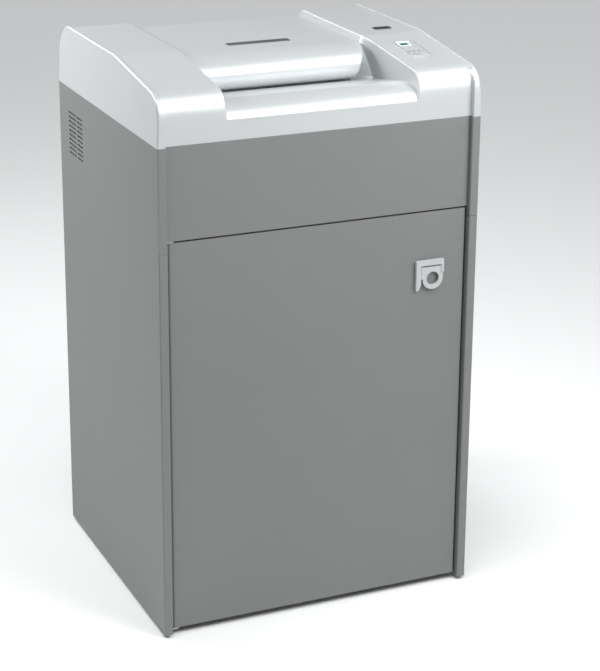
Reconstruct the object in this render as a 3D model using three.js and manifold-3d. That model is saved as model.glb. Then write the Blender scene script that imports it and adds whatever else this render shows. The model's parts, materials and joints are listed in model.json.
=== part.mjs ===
// Department paper shredder: a floor-standing steel cabinet on hidden casters, with a waste bin
// behind its door and a moulded hood over the cutting unit.
// Millimetres. +X to the right of someone facing the front, -Y is the front, +Z is up.
// The origin is on the floor, under the middle of the cabinet.
import * as THREE from "three";
import { mergeVertices } from "three/addons/utils/BufferGeometryUtils.js";
import Module from "manifold-3d";

// Overall sizes
const WIDTH = 550;
const DEPTH = 495;
const GROUND_GAP = 6; // floor to the underside of the side panels
const CABINET_HEIGHT = 650; // side panels up to the parting line
const HOUSING_HEIGHT = 166; // parting line up to the hood
const HOOD_HEIGHT = 102.5; // hood's lower edge to the top of its rims
const GAP = 0.3; // between pieces that touch

// Panels
const SIDE_THICK = 15;
const PANEL_THICK = 12;
const PROUD = 9; // side panels stand this far in front of the door and the upper front panel
const BACK_RECESS = 3;
const EDGE_RADIUS = 2;

// Door
const DOOR_THICK = 18;
const DOOR_RISE = 13; // door top above the parting line
const DOOR_TOP_GAP = 2.5;
const DOOR_BOTTOM_GAP = 6;
const DOOR_HINGE_GAP = 2;
const DOOR_LATCH_GAP = 3.5;
const PIVOT_SETBACK = 6; // pivot axis behind the door's front and inside its left edge
const PIVOT_RADIUS = 3;
const PIVOT_LENGTH = 22;

// Latch
const LATCH_WIDTH = 50;
const LATCH_HEIGHT = 50;
const LATCH_BAR = 10;
const LATCH_THICK = 6;
const LATCH_FROM_EDGE = 39;
const LATCH_TOP_DROP = 80.5; // latch plate's top below the door's top
const LATCH_LEG = 8.8; // width of the plate's long left-hand leg, and height of its bar behind the ring
const RING_LEG_GAP = 2.7; // ring to the long leg
const RING_INSET = 1.5; // ring in from the plate's right-hand edge
const RING_HOLE = 11.2;
const RING_THICK = 4.5;
const RING_DROP = 21; // plate's bar down to the ring's centre
const RING_LEG = 5; // width of the plate's short right-hand leg
const RING_LEG_LENGTH = 22;
const RING_PIN_RADIUS = 0.9;

// Shelves, bin and casters
const SHELF_THICK = 15;
const BASE_HEIGHT = 70; // floor to the underside of the base plate
const CHUTE_LENGTH = 312;
const CHUTE_WIDTH = 100;
const BIN_WALL = 3;
const BIN_SIDE_GAP = 30;
const BIN_END_GAP = 14;
const BIN_HEIGHT = 520;
const BIN_RADIUS = 12;
const BIN_LIP = 7;
const GRIP_WIDTH = 120; // hand grip through the bin's front wall
const GRIP_HEIGHT = 30;
const GRIP_DROP = 40; // below the bin's top
const GRIP_RADIUS = 8;
const BIN_FACETS = 1; // per corner: one flat each, so that its walls stay flat
const WHEEL_RADIUS = 25;
const WHEEL_WIDTH = 20;
const CASTER_TRAIL = 20;
const CASTER_SIDE = 55; // swivel axis in from the side panel's inner face
const CASTER_FRONT = 56; // swivel axis behind the door's back face
const CASTER_REAR = 53; // swivel axis in front of the back panel
const AXLE_RADIUS = 4;
const KING_PIN_RADIUS = 5.6;

// Cutting unit
const ROLL_SPACING = 42;
const ROLL_HEIGHT = 95; // above the deck
const NIP_Y = -70; // the nip is under the feed slot
const DISC_RADIUS = 24;
const CORE_RADIUS = 17;
const DISC_WIDTH = 7.6;
const DISC_COUNT = 17;
const DISC_PITCH = 18.4;
const SHAFT_RADIUS = 9;
const RUNNING = 0.25; // radial clearance of a shaft in its bore
const FRAME_THICK = 6;
const FRAME_X = 168; // inner faces of the cutter side plates
const FRAME_HEIGHT = 140;
const FRAME_FRONT = 55; // side plates reach this far in front of the nip
const FRAME_REAR = 60; // and this far behind it on the left
const DRIVE_FRAME_REAR = 225; // and behind it on the right, to carry the drive
const SYNC_TEETH = 14;
const DRIVE_TEETH = 36;
const IDLER_TEETH = 30;
const PINION_TEETH = 12;
const DRIVE_MODULE = 2.5;
const SYNC_WIDTH = 11;
const DRIVE_WIDTH = 12;
const MOTOR_RADIUS = 46;
const MOTOR_LENGTH = 150;
const MOTOR_Y = 88;
const MOTOR_DROP = 16; // motor axis below the roll axes
const GEARBOX_LENGTH = 56;
const TIE_RADIUS = 5;

// Hood
const SLOT_WIDTH = 12;
const SLOT_FRONT = -76; // front wall of the feed slot
const HOOD_WALL = 4;
const RIM_WIDTH = 14;
const RIM_RISE = 3;
const RIM_SLOPE = 6; // width of the slope from a rim's top down to its column
const COLUMN_EDGE = 160; // inner edge of the raised columns
const HUMP_EDGE = 148; // foot of the bevel down to the centre cover
const HUMP_DROP = 9;
const DRAFT = 3.5;
const INCLINE = THREE.MathUtils.degToRad(7);

// Worked-out places
const CHEEK_X = WIDTH / 2 - SIDE_THICK; // inner face of a side panel
const FRONT_Y = -DEPTH / 2 + PROUD; // front face of the door and the upper front panel
const BACK_Y = DEPTH / 2 - BACK_RECESS; // rear face of the back panels
const BACK_INNER = BACK_Y - PANEL_THICK;
const PARTING_Z = GROUND_GAP + CABINET_HEIGHT;
const HOOD_Z = PARTING_Z + HOUSING_HEIGHT;
const RIM_Z = HOOD_Z + HOOD_HEIGHT;
const COLUMN_Z = RIM_Z - RIM_RISE;
const DOOR_BACK = FRONT_Y + DOOR_THICK;
const DOOR_TOP = PARTING_Z + DOOR_RISE;
const DOOR_BOTTOM = GROUND_GAP + DOOR_BOTTOM_GAP;
const DOOR_LEFT = -CHEEK_X + DOOR_HINGE_GAP;
const DOOR_RIGHT = CHEEK_X - DOOR_LATCH_GAP;
const RING_OUTER = (LATCH_WIDTH - LATCH_LEG - RING_LEG_GAP - RING_INSET) / 2;
const PIVOT = { x: DOOR_LEFT + PIVOT_SETBACK, y: FRONT_Y + PIVOT_SETBACK };
const SHELF_FRONT = DOOR_BACK + 6;
const ROLL_Z = PARTING_Z + ROLL_HEIGHT;
const FRONT_ROLL = { y: NIP_Y - ROLL_SPACING / 2, z: ROLL_Z };
const REAR_ROLL = { y: NIP_Y + ROLL_SPACING / 2, z: ROLL_Z };
const MOTOR = { y: MOTOR_Y, z: ROLL_Z - MOTOR_DROP };
const DRIVE_RADIUS = (DRIVE_TEETH * DRIVE_MODULE) / 2;
const IDLER_RADIUS = (IDLER_TEETH * DRIVE_MODULE) / 2;
const PINION_RADIUS = (PINION_TEETH * DRIVE_MODULE) / 2;
const SYNC_MODULE = ROLL_SPACING / SYNC_TEETH;
const SYNC_X = FRAME_X + FRAME_THICK + 3;
const DRIVE_X = SYNC_X + SYNC_WIDTH + 3;
const IDLER = triangleApex(REAR_ROLL, MOTOR, DRIVE_RADIUS + IDLER_RADIUS, IDLER_RADIUS + PINION_RADIUS);

// Finishes
const GREY_PAINT = { color: 0x8b8d8b, roughness: 0.55, metalness: 0.1 };
const WHITE_PLASTIC = { color: 0xdde1e3, roughness: 0.4, metalness: 0 };
const LATCH_PLASTIC = { color: 0xcfd3d5, roughness: 0.4, metalness: 0 };
const DARK_PLASTIC = { color: 0x2c2d2f, roughness: 0.5, metalness: 0 };
const PLATE_GREY = { color: 0x6f6f72, roughness: 0.45, metalness: 0.2 };
const LCD_GREEN = { color: 0x3d6b5c, roughness: 0.2, metalness: 0 };
const STEEL = { color: 0xa9adb0, roughness: 0.35, metalness: 0.9 };
const ZINC = { color: 0xb4b8bb, roughness: 0.45, metalness: 0.8 };
const BIN_PLASTIC = { color: 0x3f4347, roughness: 0.6, metalness: 0 };
const RUBBER = { color: 0x2a2a2b, roughness: 0.9, metalness: 0 };
const MOTOR_PAINT = { color: 0x45494d, roughness: 0.5, metalness: 0.4 };
const BOARD_GREEN = { color: 0x1f5a3a, roughness: 0.5, metalness: 0 };

const wasm = await Module();
wasm.setup();

// ---- Solid helpers ----

function toSolid(geometry) {
  const bare = geometry.clone();
  bare.deleteAttribute("normal");
  bare.deleteAttribute("uv");
  const merged = mergeVertices(bare, 1e-4);
  return new wasm.Manifold(
    new wasm.Mesh({
      numProp: 3,
      vertProperties: new Float32Array(merged.attributes.position.array),
      triVerts: new Uint32Array(merged.index.array),
    }),
  );
}

function toGeometry(solid) {
  const mesh = solid.getMesh();
  const geometry = new THREE.BufferGeometry();
  geometry.setAttribute("position", new THREE.BufferAttribute(mesh.vertProperties, 3));
  geometry.setIndex(new THREE.BufferAttribute(mesh.triVerts, 1));
  geometry.computeVertexNormals();
  return geometry;
}

function join(...geometries) {
  return toGeometry(geometries.map(toSolid).reduce((sum, next) => sum.add(next)));
}

function cut(base, ...tools) {
  return toGeometry(tools.map(toSolid).reduce((rest, tool) => rest.subtract(tool), toSolid(base)));
}

function box(x0, x1, y0, y1, z0, z1) {
  const geometry = new THREE.BoxGeometry(x1 - x0, y1 - y0, z1 - z0);
  return geometry.translate((x0 + x1) / 2, (y0 + y1) / 2, (z0 + z1) / 2);
}

function extrude(outline, depth) {
  const shape = new THREE.Shape(outline);
  return new THREE.ExtrudeGeometry(shape, { depth, bevelEnabled: false, steps: 1 });
}

// Outline in X and Y, raised along Z.
function prismZ(outline, z0, z1) {
  return extrude(outline, z1 - z0).translate(0, 0, z0);
}

// Outline in Y and Z, drawn out along X.
function prismX(outline, x0, x1) {
  const turn = new THREE.Matrix4().set(0, 0, 1, x0, 1, 0, 0, 0, 0, 1, 0, 0, 0, 0, 0, 1);
  return extrude(outline, x1 - x0).applyMatrix4(turn);
}

// Outline in X and Z, drawn out along Y.
function prismY(outline, y0, y1) {
  const turn = new THREE.Matrix4().set(1, 0, 0, 0, 0, 0, -1, y1, 0, 1, 0, 0, 0, 0, 0, 1);
  return extrude(outline, y1 - y0).applyMatrix4(turn);
}

function circle(a, b, radius, sides = 24) {
  const points = [];
  for (let i = 0; i < sides; i++) {
    const angle = (2 * Math.PI * i) / sides;
    points.push(new THREE.Vector2(a + radius * Math.cos(angle), b + radius * Math.sin(angle)));
  }
  return points;
}

function rectangle(a0, a1, b0, b1) {
  return [[a0, b0], [a1, b0], [a1, b1], [a0, b1]].map(([a, b]) => new THREE.Vector2(a, b));
}

function roundedRectangle(a0, a1, b0, b1, radius, steps = 3) {
  const corners = [
    [a1 - radius, b1 - radius],
    [a0 + radius, b1 - radius],
    [a0 + radius, b0 + radius],
    [a1 - radius, b0 + radius],
  ];
  const points = [];
  corners.forEach(([a, b], quarter) => {
    for (let i = 0; i <= steps; i++) {
      const angle = (Math.PI / 2) * (quarter + i / steps);
      points.push(new THREE.Vector2(a + radius * Math.cos(angle), b + radius * Math.sin(angle)));
    }
  });
  return points;
}

function rod(axis, radius, from, to, a, b, sides = 24) {
  const outline = circle(a, b, radius, sides);
  if (axis === "x") return prismX(outline, from, to);
  if (axis === "y") return prismY(outline, from, to);
  return prismZ(outline, from, to);
}

// The point at distance `fromA` from a and `fromB` from b, on the lower side of the line a-b.
function triangleApex(a, b, fromA, fromB) {
  const dy = b.y - a.y;
  const dz = b.z - a.z;
  const span = Math.hypot(dy, dz);
  const along = (fromA ** 2 - fromB ** 2 + span ** 2) / (2 * span);
  const off = Math.sqrt(Math.max(fromA ** 2 - along ** 2, 0));
  return {
    y: a.y + (dy * along + dz * off) / span,
    z: a.z + (dz * along - dy * off) / span,
  };
}

const shredder = new THREE.Group();

function add(name, finish, geometry) {
  const mesh = new THREE.Mesh(geometry, new THREE.MeshStandardMaterial(finish));
  mesh.name = name;
  shredder.add(mesh);
  return mesh;
}

// ---- Cabinet ----

function sidePanel(side, z0, z1) {
  const outer = (side * WIDTH) / 2;
  const inner = side * CHEEK_X;
  const x0 = Math.min(outer, inner);
  const x1 = Math.max(outer, inner);
  return prismZ(roundedRectangle(x0, x1, -DEPTH / 2, DEPTH / 2, EDGE_RADIUS, 2), z0, z1);
}

function backPanel(z0, z1) {
  return box(-CHEEK_X + GAP, CHEEK_X - GAP, BACK_INNER, BACK_Y, z0, z1);
}

function shelf(z0, z1) {
  return box(-CHEEK_X + GAP, CHEEK_X - GAP, SHELF_FRONT, BACK_INNER - GAP, z0, z1);
}

// The deck carries the cutting unit; shreds fall through its chute, and a lip stands up at its front.
function deck() {
  const lipThick = 3;
  const lipRise = 24;
  const lipEnd = CHEEK_X - 20; // leaves room for the door's upper pivot
  const top = PARTING_Z;
  const chute = box(
    -CHUTE_LENGTH / 2, CHUTE_LENGTH / 2,
    NIP_Y - CHUTE_WIDTH / 2, NIP_Y + CHUTE_WIDTH / 2,
    top - 2 * SHELF_THICK, top + SHELF_THICK,
  );
  const lip = box(-lipEnd, lipEnd, SHELF_FRONT, SHELF_FRONT + lipThick, top - 1, top + lipRise);
  return cut(join(shelf(top - SHELF_THICK, top), lip), chute);
}

function addCabinet() {
  const top = PARTING_Z - GAP;
  add("side_panel_left", GREY_PAINT, sidePanel(-1, GROUND_GAP, top));
  add("side_panel_right", GREY_PAINT, sidePanel(1, GROUND_GAP, top));
  add("back_panel", GREY_PAINT, backPanel(GROUND_GAP, top));
  add("base_plate", ZINC, shelf(BASE_HEIGHT, BASE_HEIGHT + SHELF_THICK));
  add("deck_plate", ZINC, deck());
}

// ---- Door ----

// The left edge is round about the pivot axis, so that it clears the side panel as it turns.
function door() {
  const outline = new THREE.Shape();
  outline.moveTo(DOOR_RIGHT - 1, FRONT_Y);
  outline.lineTo(DOOR_RIGHT, FRONT_Y + 1);
  outline.lineTo(DOOR_RIGHT, DOOR_BACK);
  outline.lineTo(DOOR_LEFT, DOOR_BACK);
  outline.lineTo(DOOR_LEFT, PIVOT.y);
  outline.absarc(PIVOT.x, PIVOT.y, PIVOT_SETBACK, Math.PI, 1.5 * Math.PI, false);
  const body = prismZ(outline.getPoints(6).slice(0, -1), DOOR_BOTTOM, DOOR_TOP);
  const boreRadius = PIVOT_RADIUS + RUNNING;
  const depth = PIVOT_LENGTH + 2;
  return cut(
    body,
    rod("z", boreRadius, DOOR_BOTTOM - 1, DOOR_BOTTOM + depth, PIVOT.x, PIVOT.y, 16),
    rod("z", boreRadius, DOOR_TOP - depth, DOOR_TOP + 1, PIVOT.x, PIVOT.y, 16),
  );
}

// A flat arm with a pin at its front end and a tab that screws to the side panel's inner face.
function pivotBracket(armLow, armHigh, pinEnd, tabEnd) {
  const tabThick = 2.5;
  const wall = -CHEEK_X + GAP;
  const tabFront = DOOR_BACK + 5;
  const tabBack = tabFront + 30;
  const arm = box(wall, PIVOT.x + 5, PIVOT.y - 5, tabBack, armLow, armHigh);
  const tabEnds = [Math.min(armLow, tabEnd), Math.max(armHigh, tabEnd)];
  const tab = box(wall, wall + tabThick, tabFront, tabBack, ...tabEnds);
  const pinEnds = [Math.min(armLow, pinEnd), Math.max(armHigh, pinEnd)];
  const pin = rod("z", PIVOT_RADIUS, ...pinEnds, PIVOT.x, PIVOT.y, 16);
  return join(arm, tab, pin);
}

function addDoor() {
  add("door_panel", GREY_PAINT, door());
  const low = DOOR_BOTTOM - GAP;
  const high = DOOR_TOP + GAP;
  const armThick = DOOR_TOP_GAP - 2 * GAP;
  const tabLength = 30;
  add("pivot_bracket_lower", STEEL,
    pivotBracket(low - 2.5, low, DOOR_BOTTOM + PIVOT_LENGTH, low + tabLength));
  add("pivot_bracket_upper", STEEL,
    pivotBracket(high, high + armThick, DOOR_TOP - PIVOT_LENGTH, high + tabLength));
}

// ---- Latch: an angled plate with a folding ring pull, and a magnet that holds the door ----

const LATCH_X1 = DOOR_RIGHT - LATCH_FROM_EDGE;
const LATCH_X0 = LATCH_X1 - LATCH_WIDTH;
const LATCH_Z1 = DOOR_TOP - LATCH_TOP_DROP;
const LATCH_FRONT = FRONT_Y - GAP - LATCH_THICK;
const RING = { x: LATCH_X1 - RING_INSET - RING_OUTER, z: LATCH_Z1 - LATCH_BAR - RING_DROP };
const RING_BACK = FRONT_Y - 1.5;
const RING_PIVOT = { y: RING_BACK - RING_THICK / 2, z: LATCH_Z1 - LATCH_BAR - 2 };
const RING_SLACK = 0.5;
const FOOT_WIDTH = 4; // slanted foot of the long leg
const FOOT_HEIGHT = 9;
const PIN_DEPTH = 3.5; // how far the pin's hole runs into each leg
const PIN_END_GAP = 0.3;

function ringPin(radius, x0, x1) {
  return rod("x", radius, x0, x1, RING_PIVOT.y, RING_PIVOT.z, 12);
}

// A top bar with a long left leg and a short right leg, which hold the ring's pin between them.
function latchPlate() {
  const outline = [
    [LATCH_X0, LATCH_Z1 - LATCH_HEIGHT],
    [LATCH_X0 + FOOT_WIDTH, LATCH_Z1 - LATCH_HEIGHT],
    [LATCH_X0 + LATCH_LEG, LATCH_Z1 - LATCH_HEIGHT + FOOT_HEIGHT],
    [LATCH_X0 + LATCH_LEG, LATCH_Z1 - LATCH_LEG],
    [LATCH_X1 - RING_LEG, LATCH_Z1 - LATCH_LEG],
    [LATCH_X1 - RING_LEG, LATCH_Z1 - RING_LEG_LENGTH],
    [LATCH_X1, LATCH_Z1 - RING_LEG_LENGTH],
    [LATCH_X1, LATCH_Z1],
    [LATCH_X0, LATCH_Z1],
  ].map(([x, z]) => new THREE.Vector2(x, z));
  const plate = prismY(outline, LATCH_FRONT, FRONT_Y - GAP);
  const holeEnds = [LATCH_X0 + LATCH_LEG - PIN_DEPTH, LATCH_X1 - RING_LEG + PIN_DEPTH];
  return cut(plate, ringPin(RING_PIN_RADIUS + RUNNING, ...holeEnds));
}

// The ring hangs on its pin by a tab, cut back where the plate's short leg comes down.
function latchRing() {
  const neck = RING_PIVOT.z + 1;
  const tab = rectangle(LATCH_X0 + LATCH_LEG + RING_SLACK, RING.x + RING_OUTER, RING.z, neck);
  const disc = prismY(circle(RING.x, RING.z, RING_OUTER, 32), RING_BACK - RING_THICK, RING_BACK);
  const through = [RING_BACK - 3 * RING_THICK, RING_BACK + RING_THICK];
  const hole = prismY(circle(RING.x, RING.z, RING_HOLE, 24), ...through);
  const leg = box(
    LATCH_X1 - RING_LEG - RING_SLACK, LATCH_X1 + 1, RING_BACK - 2 * RING_THICK, RING_BACK + 1,
    LATCH_Z1 - RING_LEG_LENGTH - RING_SLACK, LATCH_Z1,
  );
  const ring = join(disc, prismY(tab, RING_BACK - RING_THICK, RING_BACK));
  return cut(ring, hole, leg, ringPin(RING_PIN_RADIUS + RUNNING, LATCH_X0, LATCH_X1));
}

function addLatch() {
  add("latch_plate", LATCH_PLASTIC, latchPlate());
  add("latch_ring", LATCH_PLASTIC, latchRing());
  const reach = PIN_DEPTH - PIN_END_GAP;
  const pinEnds = [LATCH_X0 + LATCH_LEG - reach, LATCH_X1 - RING_LEG + reach];
  add("ring_pin", STEEL, ringPin(RING_PIN_RADIUS, ...pinEnds));
  const keeperZ = LATCH_Z1 - LATCH_HEIGHT / 2;
  const keeperX = DOOR_RIGHT - 24;
  const plate = 2;
  const y = DOOR_BACK + GAP;
  add("latch_keeper", STEEL, box(keeperX - 14, keeperX + 14, y, y + plate, keeperZ - 10, keeperZ + 10));
  const magnetY = y + plate + GAP;
  add("magnet_catch", DARK_PLASTIC, join(
    box(keeperX - 12, CHEEK_X - GAP, magnetY, magnetY + 14, keeperZ - 9, keeperZ + 9),
    box(CHEEK_X - GAP - 3, CHEEK_X - GAP, magnetY, magnetY + 30, keeperZ - 16, keeperZ + 16),
  ));
}

// ---- Waste bin ----

const BIN_X = CHEEK_X - BIN_SIDE_GAP;
const BIN_FRONT = DOOR_BACK + BIN_END_GAP + BIN_LIP + 8;
const BIN_BACK = BACK_INNER - BIN_END_GAP;
const BIN_FLOOR = BASE_HEIGHT + SHELF_THICK + GAP;
const BIN_TOP = BIN_FLOOR + BIN_HEIGHT;

// The bin's outline, grown by some distance on every side.
function binOutline(growth) {
  return roundedRectangle(
    -BIN_X - growth, BIN_X + growth, BIN_FRONT - growth, BIN_BACK + growth, BIN_RADIUS + growth, BIN_FACETS,
  );
}

function wasteBin() {
  const tray = prismZ(binOutline(0), BIN_FLOOR, BIN_TOP);
  const lip = prismZ(binOutline(BIN_LIP), BIN_TOP - BIN_WALL, BIN_TOP);
  const inside = prismZ(binOutline(-BIN_WALL), BIN_FLOOR + BIN_WALL, BIN_TOP + 1);
  const half = GRIP_WIDTH / 2;
  const gripTop = BIN_TOP - GRIP_DROP;
  const grip = roundedRectangle(-half, half, gripTop - GRIP_HEIGHT, gripTop, GRIP_RADIUS, BIN_FACETS);
  return cut(join(tray, lip), inside, prismY(grip, BIN_FRONT - BIN_WALL, BIN_FRONT + 2 * BIN_WALL));
}

// ---- Casters ----

const CASTER_TOP = BASE_HEIGHT - GAP;
const CASTER_PLATE = 3.5;
const COLLAR_LOW = CASTER_TOP - CASTER_PLATE - 6;
const FORK_TOP = COLLAR_LOW - GAP;

function casterPlate(x, y) {
  const half = 30;
  const outline = roundedRectangle(x - half, x + half, y - half, y + half, 6, 2);
  const plate = prismZ(outline, CASTER_TOP - CASTER_PLATE, CASTER_TOP);
  const collar = rod("z", 19, COLLAR_LOW, CASTER_TOP - CASTER_PLATE + 1, x, y, 20);
  const bore = rod("z", KING_PIN_RADIUS + RUNNING, COLLAR_LOW - 1, CASTER_TOP - 1, x, y, 12);
  return cut(join(plate, collar), bore);
}

// The fork carries its riveted axle and the king pin that turns in the collar.
function casterFork(x, y) {
  const inner = WHEEL_WIDTH / 2 + 1;
  const outer = inner + 3;
  const axleY = y + CASTER_TRAIL;
  const crown = box(x - outer, x + outer, y - 17, y + 27, FORK_TOP - 3, FORK_TOP);
  const legs = [-1, 1].map((side) => {
    const outline = [[y - 17, FORK_TOP - 3], [axleY - 9, WHEEL_RADIUS - 7], [axleY + 7, WHEEL_RADIUS - 7],
      [y + 27, FORK_TOP - 3], [y + 27, FORK_TOP], [y - 17, FORK_TOP]];
    const points = outline.map(([b, c]) => new THREE.Vector2(b, c));
    return side < 0 ? prismX(points, x - outer, x - inner) : prismX(points, x + inner, x + outer);
  });
  const axle = rod("x", AXLE_RADIUS, x - outer - 1.5, x + outer + 1.5, axleY, WHEEL_RADIUS, 12);
  const pin = rod("z", KING_PIN_RADIUS, FORK_TOP - 1, CASTER_TOP - 2, x, y, 12);
  return join(crown, ...legs, axle, pin);
}

function casterWheel(x, y) {
  const axleY = y + CASTER_TRAIL;
  const half = WHEEL_WIDTH / 2;
  const profile = [
    [AXLE_RADIUS + RUNNING, -half], [WHEEL_RADIUS - 2.5, -half], [WHEEL_RADIUS, -half + 2.5],
    [WHEEL_RADIUS, half - 2.5], [WHEEL_RADIUS - 2.5, half], [AXLE_RADIUS + RUNNING, half],
    [AXLE_RADIUS + RUNNING, -half],
  ].map(([r, h]) => new THREE.Vector2(r, h));
  const wheel = new THREE.LatheGeometry(profile, 28);
  return wheel.rotateZ(Math.PI / 2).translate(x, axleY, WHEEL_RADIUS);
}

function addCasters() {
  const places = {
    front_left: [-1, DOOR_BACK + CASTER_FRONT],
    front_right: [1, DOOR_BACK + CASTER_FRONT],
    rear_left: [-1, BACK_INNER - CASTER_REAR],
    rear_right: [1, BACK_INNER - CASTER_REAR],
  };
  for (const [place, [side, y]] of Object.entries(places)) {
    const x = side * (CHEEK_X - CASTER_SIDE);
    add(`caster_plate_${place}`, ZINC, casterPlate(x, y));
    add(`caster_fork_${place}`, ZINC, casterFork(x, y));
    add(`caster_wheel_${place}`, RUBBER, casterWheel(x, y));
  }
}

// ---- Upper housing ----

const VENT_ROWS = 10;
const VENT_PITCH = 7.75;
const VENT_HEIGHT = 3.6;
const VENT_TOP_DROP = 42.6; // hood's lower edge down to the top row
const VENT_COLUMNS = [[121, 150], [155, 195]];

function vents(x0, x1) {
  const slots = [];
  for (let row = 0; row < VENT_ROWS; row++) {
    const z = HOOD_Z - VENT_TOP_DROP - row * VENT_PITCH;
    for (const [y0, y1] of VENT_COLUMNS) {
      const radius = VENT_HEIGHT / 2 - 0.01;
      const outline = roundedRectangle(y0, y1, z - VENT_HEIGHT / 2, z + VENT_HEIGHT / 2, radius, 2);
      slots.push(prismX(outline, x0, x1));
    }
  }
  return slots;
}

const INLET = { x: -190, z: PARTING_Z + 42, width: 28, height: 21 };

function addHousing() {
  const top = HOOD_Z - GAP;
  const left = sidePanel(-1, PARTING_Z, top);
  add("housing_side_left", GREY_PAINT, cut(left, ...vents(-WIDTH / 2 - 1, -CHEEK_X + 1)));
  add("housing_side_right", GREY_PAINT, sidePanel(1, PARTING_Z, top));
  add("housing_front", GREY_PAINT, box(
    -CHEEK_X + GAP, CHEEK_X - GAP, FRONT_Y, FRONT_Y + PANEL_THICK, DOOR_TOP + DOOR_TOP_GAP, top,
  ));
  const inletHole = box(
    INLET.x - INLET.width / 2 - GAP, INLET.x + INLET.width / 2 + GAP, BACK_INNER - 1, BACK_Y + 1,
    INLET.z - INLET.height / 2 - GAP, INLET.z + INLET.height / 2 + GAP,
  );
  add("housing_back", GREY_PAINT, cut(backPanel(PARTING_Z, top), inletHole));
}

// Appliance inlet: a flanged shell with a socket recess and three flat pins.
function powerInlet() {
  const { x, z, width, height } = INLET;
  const face = BACK_Y + GAP;
  const shell = box(x - width / 2, x + width / 2, face - 26, face + 1, z - height / 2, z + height / 2);
  const flange = prismY(roundedRectangle(x - 24, x + 24, z - 14, z + 14, 4, 3), face, face + 2.4);
  const socket = box(x - 11.5, x + 11.5, face - 20, face + 5, z - 7.5, z + 7.5);
  const pins = [[-7, -2], [0, 2], [7, -2]].map(([dx, dz]) =>
    box(x + dx - 1, x + dx + 1, face - 22, face - 3, z + dz - 2, z + dz + 2));
  return join(cut(join(shell, flange), socket), ...pins);
}

// ---- Hood: one moulded shell, lofted across its width ----

// Points along a quadratic curve, without its last point.
function arcRows(start, control, end, count) {
  const curve = new THREE.QuadraticBezierCurve(
    new THREE.Vector2(...start), new THREE.Vector2(...control), new THREE.Vector2(...end),
  );
  return curve.getPoints(count).slice(0, count).map((p) => [p.x, p.y]);
}

// A profile runs from the hood's lower rear edge over the top to its lower front edge, as [y, height]
// pairs with the height from the hood's lower edge. All profiles have the same rows.
const REAR_ROWS = 5;
const NOSE_ROWS = 5;
const UNDER_ROWS = 3;
const ROLL_ROWS = 6;
const FLAT_YS = [200, 60];
const NOSE_START = -32;
const CREASE = -40;
const LEDGE_YS = [-105, -146];
const ROLL_START = -206;
const HALF = DEPTH / 2;

function slopeHeight(y, flat) {
  return y > CREASE ? flat : flat - (CREASE - y) * Math.tan(INCLINE);
}

// Rims and columns: flat, then an incline that rolls over into the front.
function shoulderProfile(flat, back, front, roll) {
  const rows = [[back, 0], [back, 35]];
  rows.push(...arcRows([back, 56], [back - 11, flat - 8], [FLAT_YS[0] + 3, flat], REAR_ROWS));
  rows.push(...FLAT_YS.map((y) => [y, flat]));
  const between = NOSE_ROWS + UNDER_ROWS + 4;
  for (let i = 0; i < between; i++) {
    const y = NOSE_START + ((SLOT_FRONT - NOSE_START) * i) / (between - 1);
    rows.push([y, slopeHeight(y, flat)]);
  }
  rows.push(...LEDGE_YS.map((y) => [y, slopeHeight(y, flat)]));
  rows.push(...arcRows([roll, slopeHeight(roll, flat)], [front, 75], [front, 32], ROLL_ROWS));
  rows.push([front, 32], [front, 0]);
  return rows;
}

const LEDGE_REAR = 35; // ledge height at the slot
const LEDGE_CREST = 54.5;
const CREST_Y = -187;

function ledgeRows() {
  const rise = (LEDGE_CREST - LEDGE_REAR) / (SLOT_FRONT - CREST_Y);
  const rows = LEDGE_YS.map((y) => [y, LEDGE_REAR + (SLOT_FRONT - y) * rise]);
  rows.push(...arcRows([CREST_Y, LEDGE_CREST], [FRONT_Y + 6, LEDGE_CREST - 2], [FRONT_Y, 31], ROLL_ROWS));
  rows.push([FRONT_Y, 31], [FRONT_Y, 0]);
  return rows;
}

function humpRear(flat) {
  const back = HALF - 3.5;
  const rows = [[back, 0], [back, 35]];
  rows.push(...arcRows([back, 50], [back - 11, flat - 7], [FLAT_YS[0] + 1, flat], REAR_ROWS));
  rows.push(...FLAT_YS.map((y) => [y, flat]));
  return rows;
}

// Centre cover: a rounded nose that curls under, then the feed slot, then the ledge.
function humpProfile(flat) {
  const rows = humpRear(flat);
  const tip = [-88, flat - 26];
  rows.push(...arcRows([NOSE_START, flat], [tip[0] + 2, flat - 2], tip, NOSE_ROWS));
  const slotRear = SLOT_FRONT + SLOT_WIDTH;
  rows.push(...arcRows(tip, [tip[0] + 2, flat - 44], [slotRear, LEDGE_REAR - 1], UNDER_ROWS));
  rows.push([slotRear, LEDGE_REAR - 1], [slotRear, 6], [SLOT_FRONT, 6], [SLOT_FRONT, LEDGE_REAR]);
  rows.push(...ledgeRows());
  return rows;
}

// Finger recess at the right-hand end of the nose: a slope from the cover down to the ledge.
function recessProfile(flat) {
  const rows = humpRear(flat);
  const foot = [SLOT_FRONT - 2, LEDGE_REAR + 2.5];
  const slope = NOSE_ROWS + UNDER_ROWS;
  rows.push(...arcRows([NOSE_START, flat - 1], [-60, flat - 14], foot, slope));
  for (let i = 0; i < 4; i++) rows.push([foot[0] - i * 0.5, foot[1] - i * 0.4]);
  rows.push(...ledgeRows());
  return rows;
}

// Rows of the nose and the slot, which the right-hand end of the hump pulls in.
const NOSE_FIRST = 2 + REAR_ROWS + FLAT_YS.length;
const SLOT_FIRST = NOSE_FIRST + NOSE_ROWS + UNDER_ROWS;
const LEDGE_FIRST = SLOT_FIRST + 4;
const ROW_COUNT = LEDGE_FIRST + LEDGE_YS.length + ROLL_ROWS + 2;

// How far along the nose (0 to 1) or along the ledge (0 to 1) a row is.
function noseShare(row) {
  return THREE.MathUtils.clamp((row - NOSE_FIRST) / (SLOT_FIRST - NOSE_FIRST), 0, 1);
}

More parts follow.
